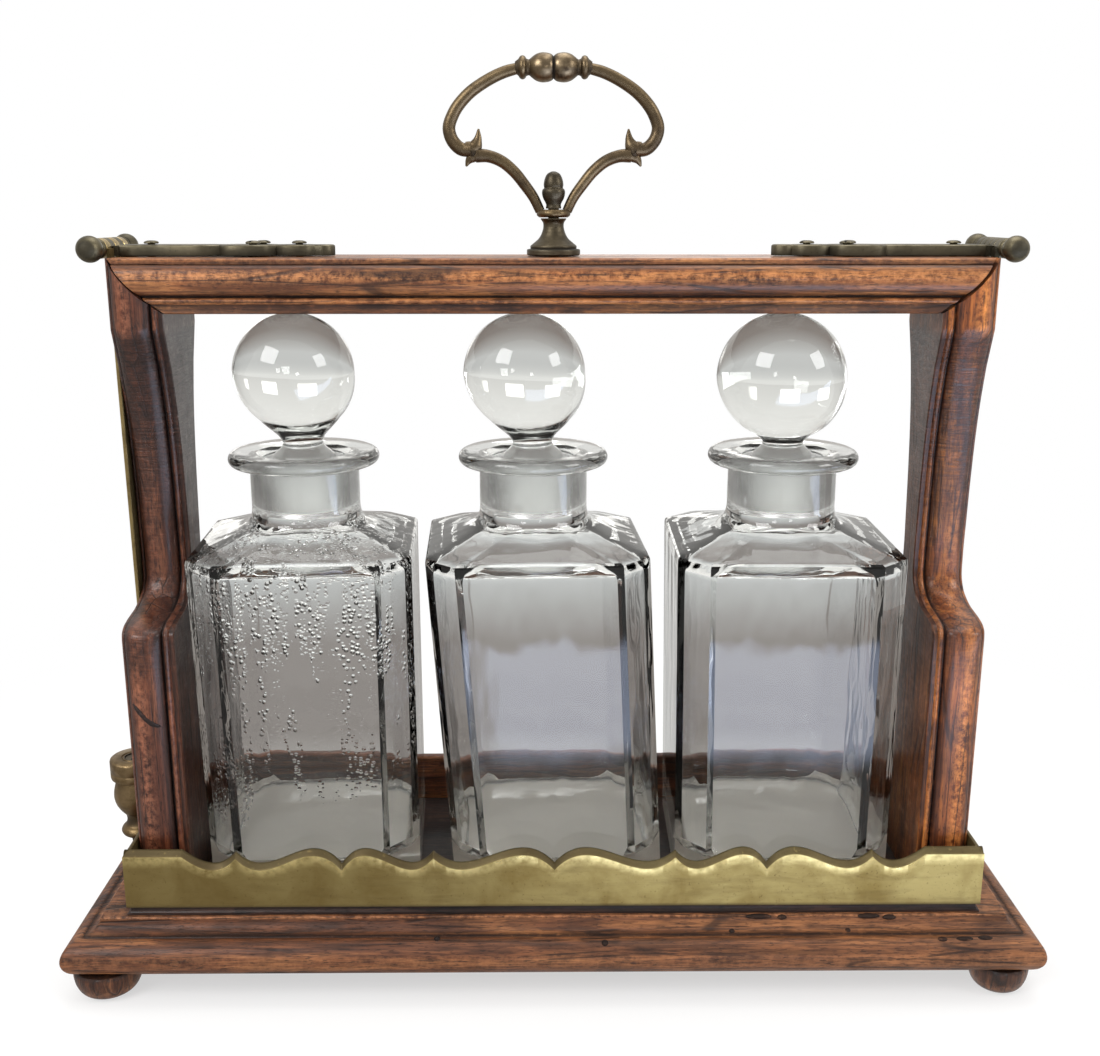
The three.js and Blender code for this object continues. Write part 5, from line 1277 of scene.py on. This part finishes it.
# Hasp: a long thin arm hangs from the barrel down the left upright's outer face. At its foot the
# staple comes through it into the lock.
staple_z = 0.0587
window_half_y = 0.0019
window_low = staple_z - 0.0033
window_high = staple_z + 0.0033
brass_arm = brass("brass_arm", (0.060, 0.036, 0.014), (0.200, 0.140, 0.055), (0.400, 0.300, 0.130),
                  rough=0.32, patina=0.5, shift=33.0)
arm_length = axis_z - 0.0040 - gallery_top - 0.0009
arm_shells = hanging_shells(0.0125, 0.00975, arm_length, 0.0014, -1)
arm_window = shell(block((-0.158, -window_half_y, window_low), (-0.150, window_half_y, window_high)))
arm_shells[0] = carved(arm_shells[0], [arm_window])
piece("hasp_arm", "brass", arm_shells, brass_arm, "hasp", 34)

# Lock: a turned case of brown bronze, with a thick flat head for the key, a round belly, a waist, a
# bead and a stem. The plug turns in it, and its cam swings into the staple's notch. The plug and the
# staple keep their CAD shapes, in dark steel.
brass_lock = brass("brass_lock", (0.024, 0.014, 0.009), (0.085, 0.054, 0.028), (0.210, 0.145, 0.070),
                   rough=0.34, patina=0.6, shift=41.0)
steel_dark = brass("steel_dark", (0.020, 0.017, 0.014), (0.060, 0.050, 0.038), (0.150, 0.120, 0.080),
                   rough=0.42, patina=0.5, shift=25.0)
lock_x = 0.1631
lock_low = 0.0310
lock_top = 0.0709
plug_radius = 0.00346
cam_reach = 0.0059
cam_low = 0.0554
cam_top = staple_z + 0.0041
lock_foot = [(0, lock_low), (0.0026, lock_low), (0.0032, lock_low + 0.0005)]
lock_curve = flowing([
    (0.0032, 0.0350), (0.0034, 0.0368), (0.0050, 0.0384), (0.0064, 0.0394), (0.0069, 0.0408),
    (0.0063, 0.0421), (0.0052, 0.0431), (0.0045, 0.0450), (0.0047, 0.0470), (0.0064, 0.0494),
    (0.0079, 0.0520), (0.0086, 0.0548), (0.0084, 0.0578), (0.0078, 0.0603), (0.0073, 0.0622),
], 5)
lock_head = [
    (0.0073, 0.0627), (0.0085, 0.0627), (0.0090, 0.0630), (0.0092, 0.0637), (0.0092, 0.0655),
    (0.00905, 0.0657), (0.00905, 0.0660), (0.0092, 0.0662), (0.0092, 0.0698), (0.0090, 0.0705),
    (0.0085, lock_top), (0.0050, lock_top), (0.0047, 0.0706), (0.0044, 0.0706), (0.0042, lock_top),
    (0, lock_top),
]
lock_profile = np.vstack([lock_foot, lock_curve, lock_head])
lock_wear = 0.6 * np.clip((lock_profile[:, 0] - 0.0060) / 0.003, 0, 1)
lock_grime = 0.8 * np.clip((0.0055 - lock_profile[:, 0]) / 0.0012, 0, 1) * (lock_profile[:, 1] < 0.060)
lock_solid = shell(lathe(lock_profile, (-lock_x, 0, 0), 64), wear=lock_wear, grime_and_painted_light=lock_grime)


def round_hole(radius, low, high):
    """A plain round cutter about the lock's axis."""
    return shell(lathe([(0, low), (radius, low), (radius, high), (0, high)], (-lock_x, 0, 0), 40))


plug_bore = round_hole(plug_radius, staple_z, lock_top + 0.0021)
cam_room = round_hole(cam_reach, cam_low, cam_top)
way_high = (-lock_x + 0.0112, window_half_y, window_high)
staple_way = shell(block((-lock_x, -window_half_y, window_low), way_high))
lock_shell = carved(lock_solid, [plug_bore, cam_room, staple_way])
piece("lock_case", "bronze", [lock_shell], brass_lock, "hasp", 40)
for plain_name in ("lock_plug", "lock_staple"):
    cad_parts[plain_name].material_slots[0].material = steel_dark
